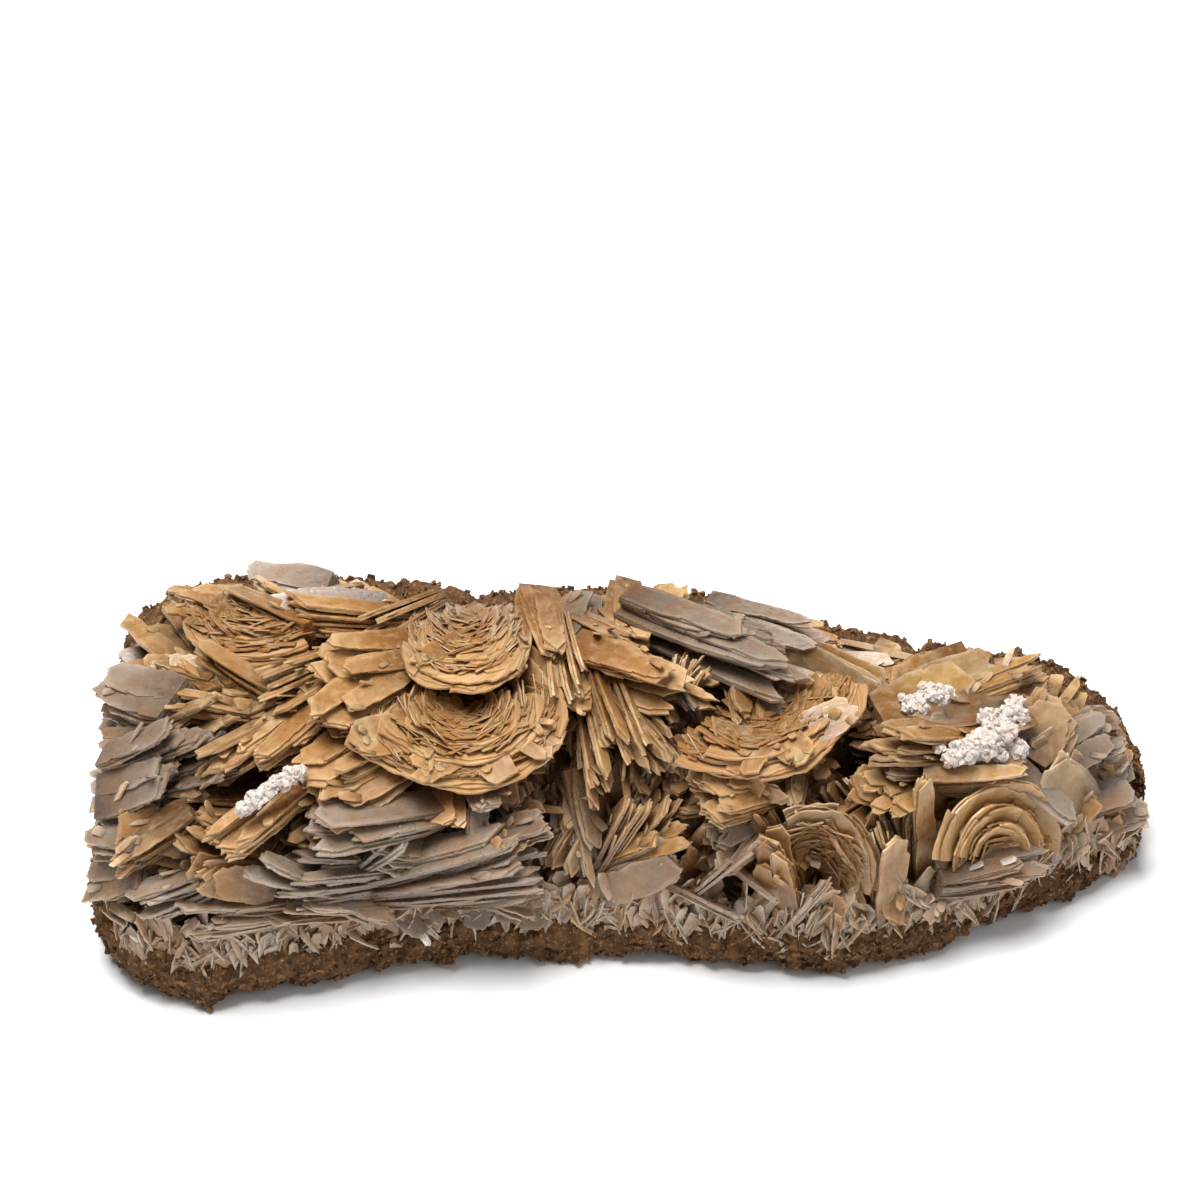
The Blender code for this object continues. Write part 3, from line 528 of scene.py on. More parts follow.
# White crusts: lumps at (x, rise, out) with a radius
WHITE_LUMPS = {
    "white_crust_upper": (
        (54.8, 33.4, 0.4, 2.2),
        (58.2, 35.4, 0.8, 2.7),
        (60.6, 35.6, 0.4, 1.7),
        (52.6, 34.6, 0.0, 0.9),
        (56.8, 36.8, 0.4, 1.1),
    ),
    "white_crust_lower": (
        (60.6, 23.8, 2.0, 1.7),
        (63.2, 25.0, 2.0, 2.5),
        (66.6, 26.2, 2.2, 3.0),
        (70.0, 28.6, 2.2, 3.0),
        (72.8, 31.8, 1.6, 2.5),
        (73.6, 34.2, 1.2, 1.4),
        (73.2, 25.6, 1.4, 2.0),
        (63.4, 38.6, 0.6, 0.9),
        (70.0, 24.4, 1.8, 1.2),
        (58.6, 25.6, 1.6, 0.9),
        (68.0, 31.6, 1.6, 1.3),
    ),
    "white_crust_left": (
        (-66.0, 14.2, 4.6, 1.3),
        (-64.0, 15.8, 4.6, 1.5),
        (-61.8, 17.4, 4.2, 1.6),
        (-59.6, 18.8, 3.8, 1.7),
        (-57.4, 20.2, 3.2, 1.6),
    ),
}
LUMP_AXES = (1.15, 0.95, 0.85)
LUMP_CORE = 0.86
CORE_LUMPS = ((1.2, 0.5),)
KNOB_LUMPS = ((0.6, 0.5),)
KNOBS_PER_AREA = 14
KNOBS_PER_LUMP = 6
KNOB_RADIUS = (0.2, 0.95, 0.35)
KNOB_DEPTH = (0.75, 0.98)
KNOB_SHADE = (0.9, 1.1)

# Pieces and the x ranges whose books or small crystals they hold
BLADE_REGIONS = {"blades_left": (-200, -38), "blades_middle": (-38, 30), "blades_right": (30, 200)}
FILLER_REGIONS = {"small_crystals_left": (-99, 0), "small_crystals_right": (0, 99)}

# Lights and floor, in metres: place, size and power of each lamp, their target, and the world's strength
LAMPS = {
    "key": ((-0.15, -0.02, 0.95), 0.55, 15.5),
    "fill": ((0.6, -0.6, 0.7), 0.9, 2.5),
}
LAMP_TARGET = Vector((0, 0, 0.03))
WORLD_STRENGTH = 0.19
FLOOR_HALF = 2.5

SIN = math.sin(VIEW_ANGLE)
COS = math.cos(VIEW_ANGLE)
RIGHT = Vector((1.0, 0.0, 0.0))
UP = Vector((0.0, SIN, COS))
TOWARDS = Vector((0.0, -COS, SIN))
SECTION_X = np.array([row[0] for row in SECTIONS], float)
SECTION_VALUES = np.array([row[1:] for row in SECTIONS], float)


def section(x):
    """Front edge, back edge, top and band height of the specimen at x."""
    x = min(max(x, SECTIONS[0][0]), SECTIONS[-1][0])
    for low, high in zip(SECTIONS, SECTIONS[1:]):
        if x <= high[0]:
            break
    share = (x - low[0]) / (high[0] - low[0])
    return [a + (b - a) * share for a, b in zip(low[1:], high[1:])]


def profile(x, share):
    """Point of the outline at x: share 0 is the front edge, 1 the back edge."""
    front, back, top, band = section(x)
    angle = math.pi * (1 - share)
    reach = math.copysign(abs(math.cos(angle)) ** (2 / PROFILE_POWER), math.cos(angle))
    lift = abs(math.sin(angle)) ** (2 / PROFILE_POWER)
    y = (front + back) / 2 + (back - front) / 2 * reach
    return Vector((x, y, band + (top - band) * lift))


def face_columns():
    """For each whole x, the outline's depth and height at each half millimetre of rise."""
    columns = []
    rises = np.arange(FACE_RISES[0], FACE_RISES[1], FACE_RISE_STEP)
    for x in range(FACE_XS[0], FACE_XS[1] + 1):
        front, _back, _top, _band = section(x)
        line = [Vector((x, front, FACE_RISES[0] / COS - front))]
        line += [profile(x, step / FACE_STEPS) for step in range(FACE_STEPS + 1)]
        crest = max(range(len(line)), key=lambda i: line[i].dot(UP))
        line = line[:crest + 1]
        line.append(line[-1] + UP * FACE_RISES[1])
        along = [point.dot(UP) for point in line]
        ys = np.interp(rises, along, [point.y for point in line])
        zs = np.interp(rises, along, [point.z for point in line])
        columns.append((ys.tolist(), zs.tolist()))
    return columns


def face_point(x, rise, out=0.0):
    """Point on the show face at x and rise, moved out towards the viewer."""
    across = min(max(x - FACE_XS[0], 0.0), FACE_XS[1] - FACE_XS[0] - TINY)
    upwards = (rise - FACE_RISES[0]) / FACE_RISE_STEP
    upwards = min(max(upwards, 0.0), len(FACE_COLUMNS[0][0]) - 1 - TINY)
    i = int(across)
    j = int(upwards)
    u = across - i
    v = upwards - j
    place = []
    for left, right in zip(FACE_COLUMNS[i], FACE_COLUMNS[i + 1]):
        low = left[j] + (left[j + 1] - left[j]) * v
        high = right[j] + (right[j + 1] - right[j]) * v
        place.append(low + (high - low) * u)
    return Vector((x, *place)) + TOWARDS * out


def depth_below_outline(points):
    """How far each point, in millimetres, lies under the outline of the whole specimen."""
    x = np.clip(points[:, 0], SECTION_X[0], SECTION_X[-1])
    front, back, top, band = (np.interp(x, SECTION_X, SECTION_VALUES[:, i]) for i in range(4))
    across = points[:, 1] - (front + back) / 2
    lift = np.maximum(points[:, 2] - band, 0)
    power = PROFILE_POWER
    share = (np.abs(across) / ((back - front) / 2)) ** power + (lift / (top - band)) ** power
    share = np.maximum(share, TINY) ** (1 / power)
    reach = np.sqrt(across ** 2 + lift ** 2)
    from_end = np.minimum(x - SECTION_X[0], SECTION_X[-1] - x)
    return np.minimum(reach / share - reach, END_DEPTH * from_end)


FACE_COLUMNS = face_columns()


def lumpy(point, lumps):
    """A point moved by smooth seeded noise, for natural surfaces. Each lump has a size and an amount."""
    moved = point.copy()
    for size, amount in lumps:
        places = [point / size + Vector((SEED * axis, 0, 0)) for axis in (1, 2, 3)]
        moved += Vector([noise.noise(place) for place in places]) * amount
    return moved


class Shape:
    """Points, faces and looks gathered for one mesh."""

    def __init__(self):
        self.points = []
        self.faces = []
        self.tints = []
        self.places = []
        self.clears = []

    def add(self, points, faces, tints, places, clear):
        """Add points with a colour and a place in the crystal each, and one clearness."""
        start = len(self.points)
        self.points.extend(points)
        self.faces.extend(tuple(start + i for i in face) for face in faces)
        self.tints.extend(tints)
        self.places.extend(places)
        self.clears.extend([clear] * len(points))

    def add_plain(self, points, faces, tint):
        """Add opaque points of one colour, whose places are where they are."""
        self.add(points, faces, [tint] * len(points), [tuple(point) for point in points], 0.0)

    def build(self, name, material, smooth=False):
        """Make the object, inside the box of the solids, and return it."""
        points = np.array([tuple(p) for p in self.points], float)
        low = np.array(CAD_LOW) + BOX_GAP * MM
        high = np.array(CAD_HIGH) - BOX_GAP * MM
        in_metres = np.clip((points - np.array(CENTRE)) * MM, low, high)
        mesh = bpy.data.meshes.new(name)
        mesh.from_pydata(in_metres.tolist(), [], self.faces)
        rgba = np.ones((len(points), 4))
        rgba[:, :3] = [tuple(tint) for tint in self.tints]
        looks = (
            ("tint", "FLOAT_COLOR", "color", rgba),
            ("place", "FLOAT_VECTOR", "vector", np.array([tuple(place) for place in self.places])),
            ("clear", "FLOAT", "value", np.array(self.clears, float)),
            # deep: depth under the outline, which drives the crystal's painted shade
            ("deep", "FLOAT", "value", depth_below_outline(points)),
        )
        for look, kind, field, values in looks:
            mesh.attributes.new(look, kind, "POINT").data.foreach_set(field, values.ravel())
        mesh.update()
        if smooth:
            mesh.shade_smooth()
            mesh.set_sharp_from_angle(angle=SHARP_ANGLE)
        mesh.materials.append(material)
        return linked(name, mesh)


def linked(name, data):
    """A new object in the scene."""
    item = bpy.data.objects.new(name, data)
    bpy.context.scene.collection.objects.link(item)
    return item


def mixed(a, b, share):
    """Colour between a and b."""
    return Vector(a).lerp(Vector(b), share)


def degrees_of(draw, low, high):
    """A random angle between two in degrees."""
    return math.radians(draw.uniform(low, high))


def wall_faces(low, high, count):
    """Faces between two rings of points, with count points each, that start at low and high."""
    pairs = [(i, (i + 1) % count) for i in range(count)]
    return [(low + i, low + j, high + j, high + i) for i, j in pairs]


def plate_faces(count, ringed=False):
    """Faces of a plate: its outline on both sides, each with a smaller ring inside it where ringed."""
    top = 2 * count if ringed else count
    faces = wall_faces(0, top, count)
    if ringed:
        faces += [face[::-1] for face in wall_faces(0, count, count)]
        faces += wall_faces(top, top + count, count)
    faces.append(tuple(reversed(range(top - count, top))))
    faces.append(tuple(range(2 * top - count, 2 * top)))
    return faces


def slab_faces(lines, rows):
    """Faces of a thin slab: a grid of points by lines and rows, then the same grid on its other side."""
    size = lines * rows
    faces = []
    for line in range(lines - 1):
        for low in range(line * rows, line * rows + rows - 1):
            high = low + rows
            faces.append((low, high, high + 1, low + 1))
            faces.append((size + low, size + low + 1, size + high + 1, size + high))
        low = line * rows
        high = low + rows
        faces.append((low, size + low, size + high, high))
        low += rows - 1
        high += rows - 1
        faces.append((high, size + high, size + low, low))
    for low in range(rows - 1):
        faces.append((low, low + 1, size + low + 1, size + low))
        end = size - rows + low
        faces.append((size + end, size + end + 1, end + 1, end))
    return faces


def leaf_outline(draw, fine):
    """Outline of one leaf: lobed sides and a chisel tip."""
    narrowing = draw.uniform(*NARROWING)
    sides = []
    for side in (-1, 1):
        line = [(0.0, side * ROOT_HALF)]
        half = draw.uniform(*LEAF_HALF)
        for station in LEAF_STATIONS if fine else COARSE_STATIONS:
            share = station + draw.uniform(*STATION_SHIFT)
            half = min(HALF_LIMITS[1], max(HALF_LIMITS[0], half + draw.uniform(*LOBE_STEP)))
            reach = half * (1 - narrowing * max(0.0, station - NARROWS_FROM))
            line.append((share, side * reach))
            if fine and draw.random() < NOTCH_CHANCE:
                line.append((share + NOTCH_RUN, side * (reach - draw.uniform(*NOTCH_DEPTH))))
        sides.append(line)
    apex = draw.uniform(*APEX_SHIFT)
    blunt = draw.uniform(*APEX_BLUNT)
    ends = [draw.uniform(*span) for span in CHISEL_ENDS]
    tip = [(ends[0], apex - blunt), (1.0, apex), (ends[1], apex + blunt)]
    return sides[0] + tip + sides[1][::-1]


def leaf_colour(tint, clear, share, rim):
    """Colour of a leaf at a share of its length: painted shade at the root, pale at the tip, and a painted
    glow along its rim.
    """
    tip_pale, root_shade, rim_glow_tint = CLEAR_LOOK if clear >= CLEAR_ABOVE else GOLDEN_LOOK
    colour = mixed(tint, PALE, tip_pale * max(0.0, share - TIP_FROM) / (1 - TIP_FROM))
    # Painted glow along the rim
    colour = mixed(colour, rim_glow_tint, rim)
    # Painted shade: browner and darker towards the root
    colour = mixed(colour, ROOT_SHADE_BROWN, root_shade * max(0.0, 1 - share / ROOT_TO))
    return colour * (ROOT_SHADE_LEVEL + (1 - ROOT_SHADE_LEVEL) * min(1.0, share / DARK_TO))


def add_plate(shape, root, axes, size, rings, offset, look, clear):
    """A thin plate with rings of (share, side) on both its faces; look gives a point's height and colour."""
    along, across, normal = axes
    length, width, thick = size
    points = []
    tints = []
    places = []
    for level in (-0.5, 0.5):
        for depth, ring in enumerate(rings):
            for share, side in ring:
                height, tint = look(depth, share, side, thick * level)
                point = root + along * (length * share) + across * (width * side)
                points.append(point + normal * height)
                tints.append(tint)
                places.append((length * share + offset, width * side + offset, thick * level + offset))
    shape.add(points, plate_faces(len(rings[0]), len(rings) > 1), tints, places, clear)


def add_leaf(shape, draw, root, axes, size, tint, clear, fine=True, bend=0.0):
    """One thin crystal: a flat polygon with thickness, and with a pale rim of painted glow where fine."""
    rings = [leaf_outline(draw, fine)]
    if fine:
        rings.append([(INNER_START + INNER_LENGTH * share, side * INNER_WIDTH) for share, side in rings[0]])
    offset = draw.uniform(*TEXTURE_SHIFT)
    shade = draw.uniform(*LEAF_SHADE)

    def look(depth, share, _side, height):
        height += bend * size[0] * share * share
        if depth:
            return height, leaf_colour(tint, clear, share, 0.0) * (shade * INNER_SHADE)
        return height, leaf_colour(tint, clear, share, RIM_GLOW) * shade

    add_plate(shape, root, axes, size, rings, offset, look, clear)


def add_edge_blade(shape, draw, root, axes, size, inner, outer):
    """A thin blade on edge, whose colour goes from an inner edge to an outer edge."""
    faces_out = 1 if axes[1].dot(TOWARDS) > 0 else -1
    rings = [leaf_outline(draw, False)]
    offset = draw.uniform(*TEXTURE_SHIFT)

    def look(_depth, _share, side, height):
        taper = 1.0 if side * faces_out < 0 else EDGE_TAPER
        return height * taper, mixed(inner, outer, min(1.0, max(0.0, 0.5 + side * faces_out)))

    add_plate(shape, root, axes, size, rings, offset, look, EDGE_CLEARNESS)


def book_frame(root, tip, roll):
    """Axes of a plate: along from root to tip, across its width, and its normal."""
    along = (tip - root).normalized()
    facing = (TOWARDS - along * TOWARDS.dot(along)).normalized()
    side = facing.cross(along)
    leans_up = side.dot(UP) if abs(side.dot(UP)) > 0.35 else side.dot(RIGHT)
    turn = math.radians(roll) * (1 if leans_up >= 0 else -1)
    normal = facing * math.cos(turn) + side * math.sin(turn)
    return along, normal.cross(along), normal


def turned(axes, yaw, pitch):
    """Axes turned in their own plane by yaw, and towards the normal by pitch."""
    along, across, normal = axes
    turn_yaw = Matrix.Rotation(yaw, 3, normal)
    along = turn_yaw @ along
    across = turn_yaw @ across
    turn_pitch = Matrix.Rotation(-pitch, 3, across)
    return turn_pitch @ along, across, turn_pitch @ normal


def strips_of(draw, width):
    """Widths and side shifts of the crystals that lie side by side in one layer."""
    count = draw.choice(WIDE_STRIPS if width > WIDE_LAYER else NARROW_STRIPS)
    if count == 1:
        return [(width * draw.uniform(*LONE_WIDTH), width * draw.uniform(*STRIP_SHIFT))]
    strips = []
    for i in range(count):
        centre = STRIP_SPREAD * ((i + 0.5) / count - 0.5)
        strip_width = width / count * draw.uniform(*STRIP_OVERLAP)
        strips.append((strip_width, width * (centre + draw.uniform(*STRIP_SHIFT))))
    return strips


def add_crystal(shape, draw, root, axes, size, tint, clear, fine=True):
    """One blade: a few thin leaves grown as one, the outer ones smaller, so that its edges are bevelled."""
    length, width, thick = size
    leaves = max(1, round(thick / LEAF_PITCH))
    bend = draw.uniform(*LEAF_BEND)
    normal = axes[2]
    for leaf in range(leaves):
        height = (leaf + 0.5) / leaves - 0.5
        narrow = 1 - OUTER_NARROWER * abs(height) - draw.uniform(*LEAF_NARROWER)
        shorten = 1 - OUTER_SHORTER * abs(height) - draw.uniform(*LEAF_SHORTER)
        leaf_size = (length * shorten, width * narrow, thick / leaves * LEAF_FILL)
        add_leaf(shape, draw, root + normal * (thick * height), axes, leaf_size, tint, clear, fine, bend)
    if fine:
        add_overgrowth(shape, draw, root + normal * (thick / 2), axes, length, width, tint, clear)


def add_overgrowth(shape, draw, root, axes, length, width, tint, clear):
    """Tiny crystals that stand at a slant on a blade's broad face."""
    along, across, _normal = axes
    for _ in range(draw.choice(OVERGROWTH_COUNTS)):
        place = root + along * (length * draw.uniform(*OVERGROWTH_ALONG))
        place += across * (width * draw.uniform(*OVERGROWTH_ACROSS))
        small_axes = turned(axes, degrees_of(draw, *OVERGROWTH_YAW), degrees_of(draw, *OVERGROWTH_TILT))
        size = [draw.uniform(*span) for span in (OVERGROWTH_LENGTH, OVERGROWTH_WIDTH, OVERGROWTH_THICK)]
        colour = mixed(tint, PALE, draw.uniform(0, 0.35))
        add_leaf(shape, draw, place, small_axes, size, colour, clear, False)


def add_book(shape, draw, root, tip, width, thick, roll, tint, plates=1, splay=0):
    """A book of blades that fan out from one root, the front ones shorter."""
    root = face_point(*root)
    tip = face_point(*tip)
    axes = book_frame(root, tip, roll)
    along, across, normal = axes
    length = (tip - root).length + ROOT_DEPTH
    start = root - along * ROOT_DEPTH
    total = plates * thick * PLATE_PITCH
    blades = max(2, round(total / max(BLADE_THICK, 0.5 * thick)))
    clear = CLEARNESS.get(tint, GOLD_CLEARNESS)
    for blade in range(blades):
        share = (blade + 0.5) / blades
        shorten = 1 - BOOK_SHORTENING * (plates - 1) * share
        for strip_width, shift in strips_of(draw, width * (1 - BOOK_NARROWING * share)):
            lean = math.radians(splay) * (share - 0.5) + degrees_of(draw, *BLADE_LEAN)
            blade_axes = turned(axes, degrees_of(draw, *BLADE_YAW), lean)
            base = start + normal * (total * (share - 0.5)) + across * shift
            reach = length * shorten * draw.choice(BLADE_LENGTHS) * draw.uniform(0.97, 1.0)
            size = (reach, strip_width, total / blades * draw.uniform(*BLADE_FILL))
            add_crystal(shape, draw, base, blade_axes, size, blade_colour(draw, tint, clear), clear)


def blade_colour(draw, tint, clear):
    """Colour of one blade: its book's tint, mixed with a paler or a darker one."""
    pale = draw.random() < PALER_CHANCE
    if clear > CLEAR_ABOVE:
        other = TINTS["white"] if pale else TINTS["honey"]
        return mixed(TINTS[tint], other, draw.uniform(0, CLEAR_MIX))
    other = PALE if pale else TINTS["brown"]
    return mixed(TINTS[tint], other, draw.uniform(0, GOLDEN_MIX))


@dataclass
class Sheet:
    """One curved sheet of a rosette. A place on it is given by its share of the radius and its angle."""

    centre: tuple
    radii: tuple
    inner: float
    arc: tuple
    out: tuple
    tints: tuple
    rough: float
    rim: tuple

    def point(self, share, turn):
        """The point at a place."""
        depth = self.out[0] + (self.out[1] - self.out[0]) * share ** RIM_POWER
        across = self.radii[0] * share * math.cos(turn)
        rise = self.radii[1] * share * math.sin(turn)
        return face_point(self.centre[0] + across, self.centre[1] + rise, depth)

    def reach(self, turn):
        """Reach of the rim at an angle."""
        return float(np.interp(math.degrees(turn), *zip(*self.rim)))

    def axes(self, share, turn):
        """Outward, sideways and normal directions at a place."""
        share = max(share, 0.1)
        point = self.point(share, turn)
        outwards = (self.point(share + SHARE_STEP, turn) - point).normalized()
        aside = (self.point(share, turn + TURN_STEP) - point).normalized()
        normal = outwards.cross(aside).normalized()
        if normal.dot(TOWARDS) < 0:
            normal = -normal
        return outwards, aside, normal

    def colour(self, share, turn):
        """Colour at a place: the upper tint towards the top and the centre."""
        return mixed(*self.tints, min(1.0, 1 + math.sin(turn) + 0.4 * (1 - share)))


def terrace_lines(sheet, arc, shares, lift, offset):
    """Lines of (point, normal, share, angle) across one layer, from its inner edge to its wavy rim."""
    inner, reach = shares
    steps = max(3, round((arc[1] - arc[0]) / TERRACE_STEP))
    lines = []
    for index in range(steps + 1):
        turn = math.radians(arc[0] + (arc[1] - arc[0]) * index / steps)
        wave = RIM_WAVE * noise.noise(Vector((turn * 2.2, offset, 0)))
        wave += RIM_RIPPLE * RIM_WAVE * noise.noise(Vector((turn * 9, offset, 3)))
        rim = reach * (1 + wave) * sheet.reach(turn)
        line = []
        for row in range(TERRACE_ROWS):
            share = inner + (rim - inner) * (row / (TERRACE_ROWS - 1)) ** TERRACE_ROW_POWER
            normal = sheet.axes(share, turn)[2]
            line.append((sheet.point(share, turn) + normal * lift, normal, share, turn))
        lines.append(line)
    return lines


def add_terrace(shape, draw, sheet, arc, shares, lift):
    """One thin curved layer of a sheet: a band round its centre with a wavy rim."""
    offset = draw.uniform(*TEXTURE_SHIFT)
    shade = draw.uniform(*TERRACE_SHADE)
    lines = terrace_lines(sheet, arc, shares, lift, offset)
    thick = TERRACE_THICK * TERRACE_FILL
    points = []
    colours = []
    places = []
    for level in (0, 1):
        for line in lines:
            for row, (point, normal, share, turn) in enumerate(line):
                points.append(point + normal * (thick * level))
                # Painted shade browns the layer towards the centre, and painted glow pales its outer rows
                colour = mixed(sheet.colour(share, turn), TINTS["brown"], TERRACE_CENTRE_SHADE * (1 - share))
                colour = mixed(colour, PALE, TERRACE_RIM_GLOW * (row / (TERRACE_ROWS - 1)) ** 3)
                colours.append(colour * shade)
                across = share * sheet.radii[0]
                places.append((offset + across, offset + turn * across, offset + lift + thick * level))
    shape.add(points, slab_faces(len(lines), TERRACE_ROWS), colours, places, GOLD_CLEARNESS)


def add_layer(shape, draw, sheet, lift):
    """One layer of a sheet, made of sectors of random width that overlap a little."""
    start = sheet.arc[0] + draw.uniform(0, 3)
    while start < sheet.arc[1] - 2 * SECTOR_OVERLAP:
        end = min(sheet.arc[1], start + draw.uniform(*SECTOR))
        if sheet.arc[1] - end < LAST_SECTOR:
            end = sheet.arc[1]
        shares = (sheet.inner * 0.8, draw.uniform(*TERRACE_REACH))
        add_terrace(shape, draw, sheet, (start, end), shares, lift + draw.uniform(*TERRACE_LIFT))
        start = end - SECTOR_OVERLAP


def add_scales(shape, draw, sheet):
    """Small plates that stand at a slant on a sheet's inner face, mostly along its arcs."""
    area = math.pi * sheet.radii[0] * sheet.radii[1] * (sheet.arc[1] - sheet.arc[0]) / 360
    for _ in range(round(SCALES_PER_AREA * area * sheet.rough ** 2)):
        turn = degrees_of(draw, *sheet.arc)
        share = sheet.inner + (sheet.rough - sheet.inner) * math.sqrt(draw.random())
        share *= sheet.reach(turn)
        outwards, aside, normal = sheet.axes(share, turn)
        yaw = math.radians(draw.gauss(0, SCALE_TURN_SPREAD))
        along = (aside * math.cos(yaw) + outwards * math.sin(yaw)) * draw.choice((-1, 1))
        flat = normal.cross(along).normalized()
        if flat.dot(outwards) < 0:
            flat = -flat
        tilt = degrees_of(draw, *SCALE_TILT)
        across = flat * math.cos(tilt) + normal * math.sin(tilt)
        length = draw.uniform(*SCALE_LENGTH) * (1 - INNER_SHORTER * (1 - share))
        width = draw.uniform(*SCALE_WIDTH) * (1 - INNER_NARROWER * (1 - share))
        root = sheet.point(share, turn) - along * (length / 2) + normal * SCALE_LIFT
        base = sheet.colour(share, turn)
        inner = mixed(base, TINTS["brown"], 0.85 - 0.45 * share)
        outer = mixed(base, TINTS["brown"], 0.5 - 0.5 * share)
        outer = mixed(outer, PALE, draw.uniform(0.0, 0.6) * share)
        if across.dot(TOWARDS) < 0:
            inner, outer = outer, inner
        size = (length, width, draw.uniform(*SCALE_THICK))
        add_edge_blade(shape, draw, root, (along, across, along.cross(across)), size, inner, outer)


def add_rosette(shape, draw, rosette):
    """Nested curved sheets of thin layers with raised rims, and small plates on their inner faces."""
    centre, radii, inner, arc, out, thick, sheets, shrink = rosette[:8]
    base_step, rim_step, tint, upper, rough, rim = rosette[8:]
    for number in range(sheets):
        sheet = Sheet(
            centre,
            (radii[0] * shrink ** number, radii[1] * shrink ** number),
            inner,
            (arc[0] + SHEET_INSET[0] * number, arc[1] - SHEET_INSET[1] * number),
            (out[0] + base_step * number, out[1] + rim_step * number),
            (TINTS[tint], TINTS[upper]),
            rough,
            rim,
        )
        for layer in range(round(thick / TERRACE_THICK)):
            add_layer(shape, draw, sheet, TERRACE_THICK * layer - thick)
        add_scales(shape, draw, sheet)


def nearest_book(x, rise):
    """The book whose middle line passes nearest to a place on the show face."""

    def gap(book):
        root, tip = book[:2]
        run = (tip[0] - root[0], tip[1] - root[1])
        share = ((x - root[0]) * run[0] + (rise - root[1]) * run[1]) / (run[0] ** 2 + run[1] ** 2)
        share = min(max(share, 0.0), 1.0)
        return math.hypot(x - root[0] - run[0] * share, rise - root[1] - run[1] * share)

    return min(BOOKS, key=gap)


def hollow_depth(x, rise):
    """Added depth of the dark hollows at a place on the show face."""
    depth = 0.0
    for hollow_x, hollow_rise, radius, extra in HOLLOWS:
        share = math.hypot(x - hollow_x, rise - hollow_rise) / radius
        depth = max(depth, extra * max(0.0, 1 - share * share))
    return depth


def rise_range(x):
    """Lowest and highest rise of the crystals at x."""
    front, back, top, band = section(x)
    crest = max(profile(x, step / 20) @ UP for step in range(8, 19))
    return front * SIN + band * COS, crest


def add_filler(shape, draw, low_x, high_x, count):
    """Small blades deep between the books, which lie as the nearest book does."""
    made = 0
    while made < count:
        x = draw.uniform(low_x, high_x)
        rise = draw.uniform(*rise_range(x))
        if hollow_depth(x, rise) > 1.0 and draw.random() < HOLLOW_SKIPPED:
            continue
        root, tip, _width, _thick, roll, tint = nearest_book(x, rise)[:6]
        direction = math.atan2(tip[1] - root[1], tip[0] - root[0]) + degrees_of(draw, *FILLER_TURN)
        length = draw.uniform(*FILLER_LENGTH)
        end_x = x + length * math.cos(direction)
        end_rise = rise + length * math.sin(direction)
        if not FILLER_ENDS[0] < end_x < FILLER_ENDS[1] or end_rise > rise_range(end_x)[1]:
            continue
        out = draw.uniform(*FILLER_DEPTH) - hollow_depth(x, rise)
        start = face_point(x, rise, out - FILLER_SLANT)
        end = face_point(end_x, end_rise, out + draw.uniform(0, FILLER_SLANT))
        axes = book_frame(start, end, roll + draw.uniform(*FILLER_ROLL))
        colour = mixed(TINTS[tint], TINTS["brown"], draw.uniform(*FILLER_BROWN))
        width = draw.uniform(*FILLER_WIDTH)
        for blade in range(draw.choice(FILLER_BLADES)):
            base = start + axes[2] * (FILLER_PITCH * blade) + axes[1] * draw.uniform(*FILLER_SHIFT)
            reach = (end - start).length * draw.uniform(0.7, 1.0)
            size = (reach, width * draw.uniform(0.6, 1.0), draw.uniform(*FILLER_THICK))
            blade_axes = turned(axes, degrees_of(draw, *FILLER_YAW), math.radians(FILLER_FAN * blade))
            add_crystal(shape, draw, base, blade_axes, size, colour, FILLER_CLEARNESS, False)
        made += 1


def add_boxwork(shape, draw):
    """Thin blades on edge, white along the outer edge, crossing one another along the rock band."""
    for _ in range(BOXWORK_COUNT):
        x = draw.uniform(*BOXWORK_RANGE)
        rise = rise_range(x)[0] + draw.triangular(*BOXWORK_BAND)
        length = draw.uniform(*BOXWORK_LENGTH)
        angle = math.radians(draw.choice(BOXWORK_ANGLES) + draw.uniform(*BOXWORK_TURN))
        width = draw.uniform(*BOXWORK_WIDTH)
        depth = draw.uniform(*BOXWORK_DEPTH) - width / 2
        run = Vector((math.cos(angle), math.sin(angle))) * (length / 2)
        root = face_point(x - run.x, rise - run.y, depth)
        tip = face_point(x + run.x, rise + run.y, depth + draw.uniform(-1.0, 1.0))
        axes = book_frame(root, tip, draw.uniform(*BOXWORK_ROLL) * draw.choice((-1, 1)))
        inner = mixed(TINTS["taupe"], TINTS[draw.choice(("honey", "brown", "grey"))], draw.uniform(0.2, 0.9))
        outer = mixed(FROST_AND_RIM_GLOW, TINTS[draw.choice(("grey", "taupe", "gold"))], draw.uniform(0.0, 0.6))
        size = ((tip - root).length, width, draw.uniform(*BOXWORK_THICK))
        add_edge_blade(shape, draw, root, axes, size, inner, outer)


def add_end_ledges(shape, draw):
    """Layered ledges of crystal on the left and right ends, inside the outline."""
    for root_x, tip_x, count, tints in END_LEDGES:
        outwards = 1 if tip_x > 0 else -1
        for _ in range(count):
            x = tip_x - outwards * draw.uniform(0, 4)
            front, back, _top, band = section(x)
            middle = Vector((x, (front + back) / 2, band))
            tip = middle.lerp(profile(x, draw.uniform(0.03, 0.95)), draw.uniform(0.35, 0.97))
            root = tip + Vector((root_x - tip_x, draw.uniform(-3, 3), draw.uniform(-3, 1)))
            along = (tip - root).normalized()
            across = Vector((draw.uniform(-0.1, 0.1), 1, draw.uniform(-0.4, 0.4)))
            across = (across - along * across.dot(along)).normalized()
            axes = (along, across, along.cross(across))
            colour = Vector(TINTS[draw.choice(tints)])
            size = ((tip - root).length, draw.uniform(*LEDGE_WIDTH), draw.uniform(*LEDGE_THICK))
            add_crystal(shape, draw, root, axes, size, colour, LEDGE_CLEARNESS, False)


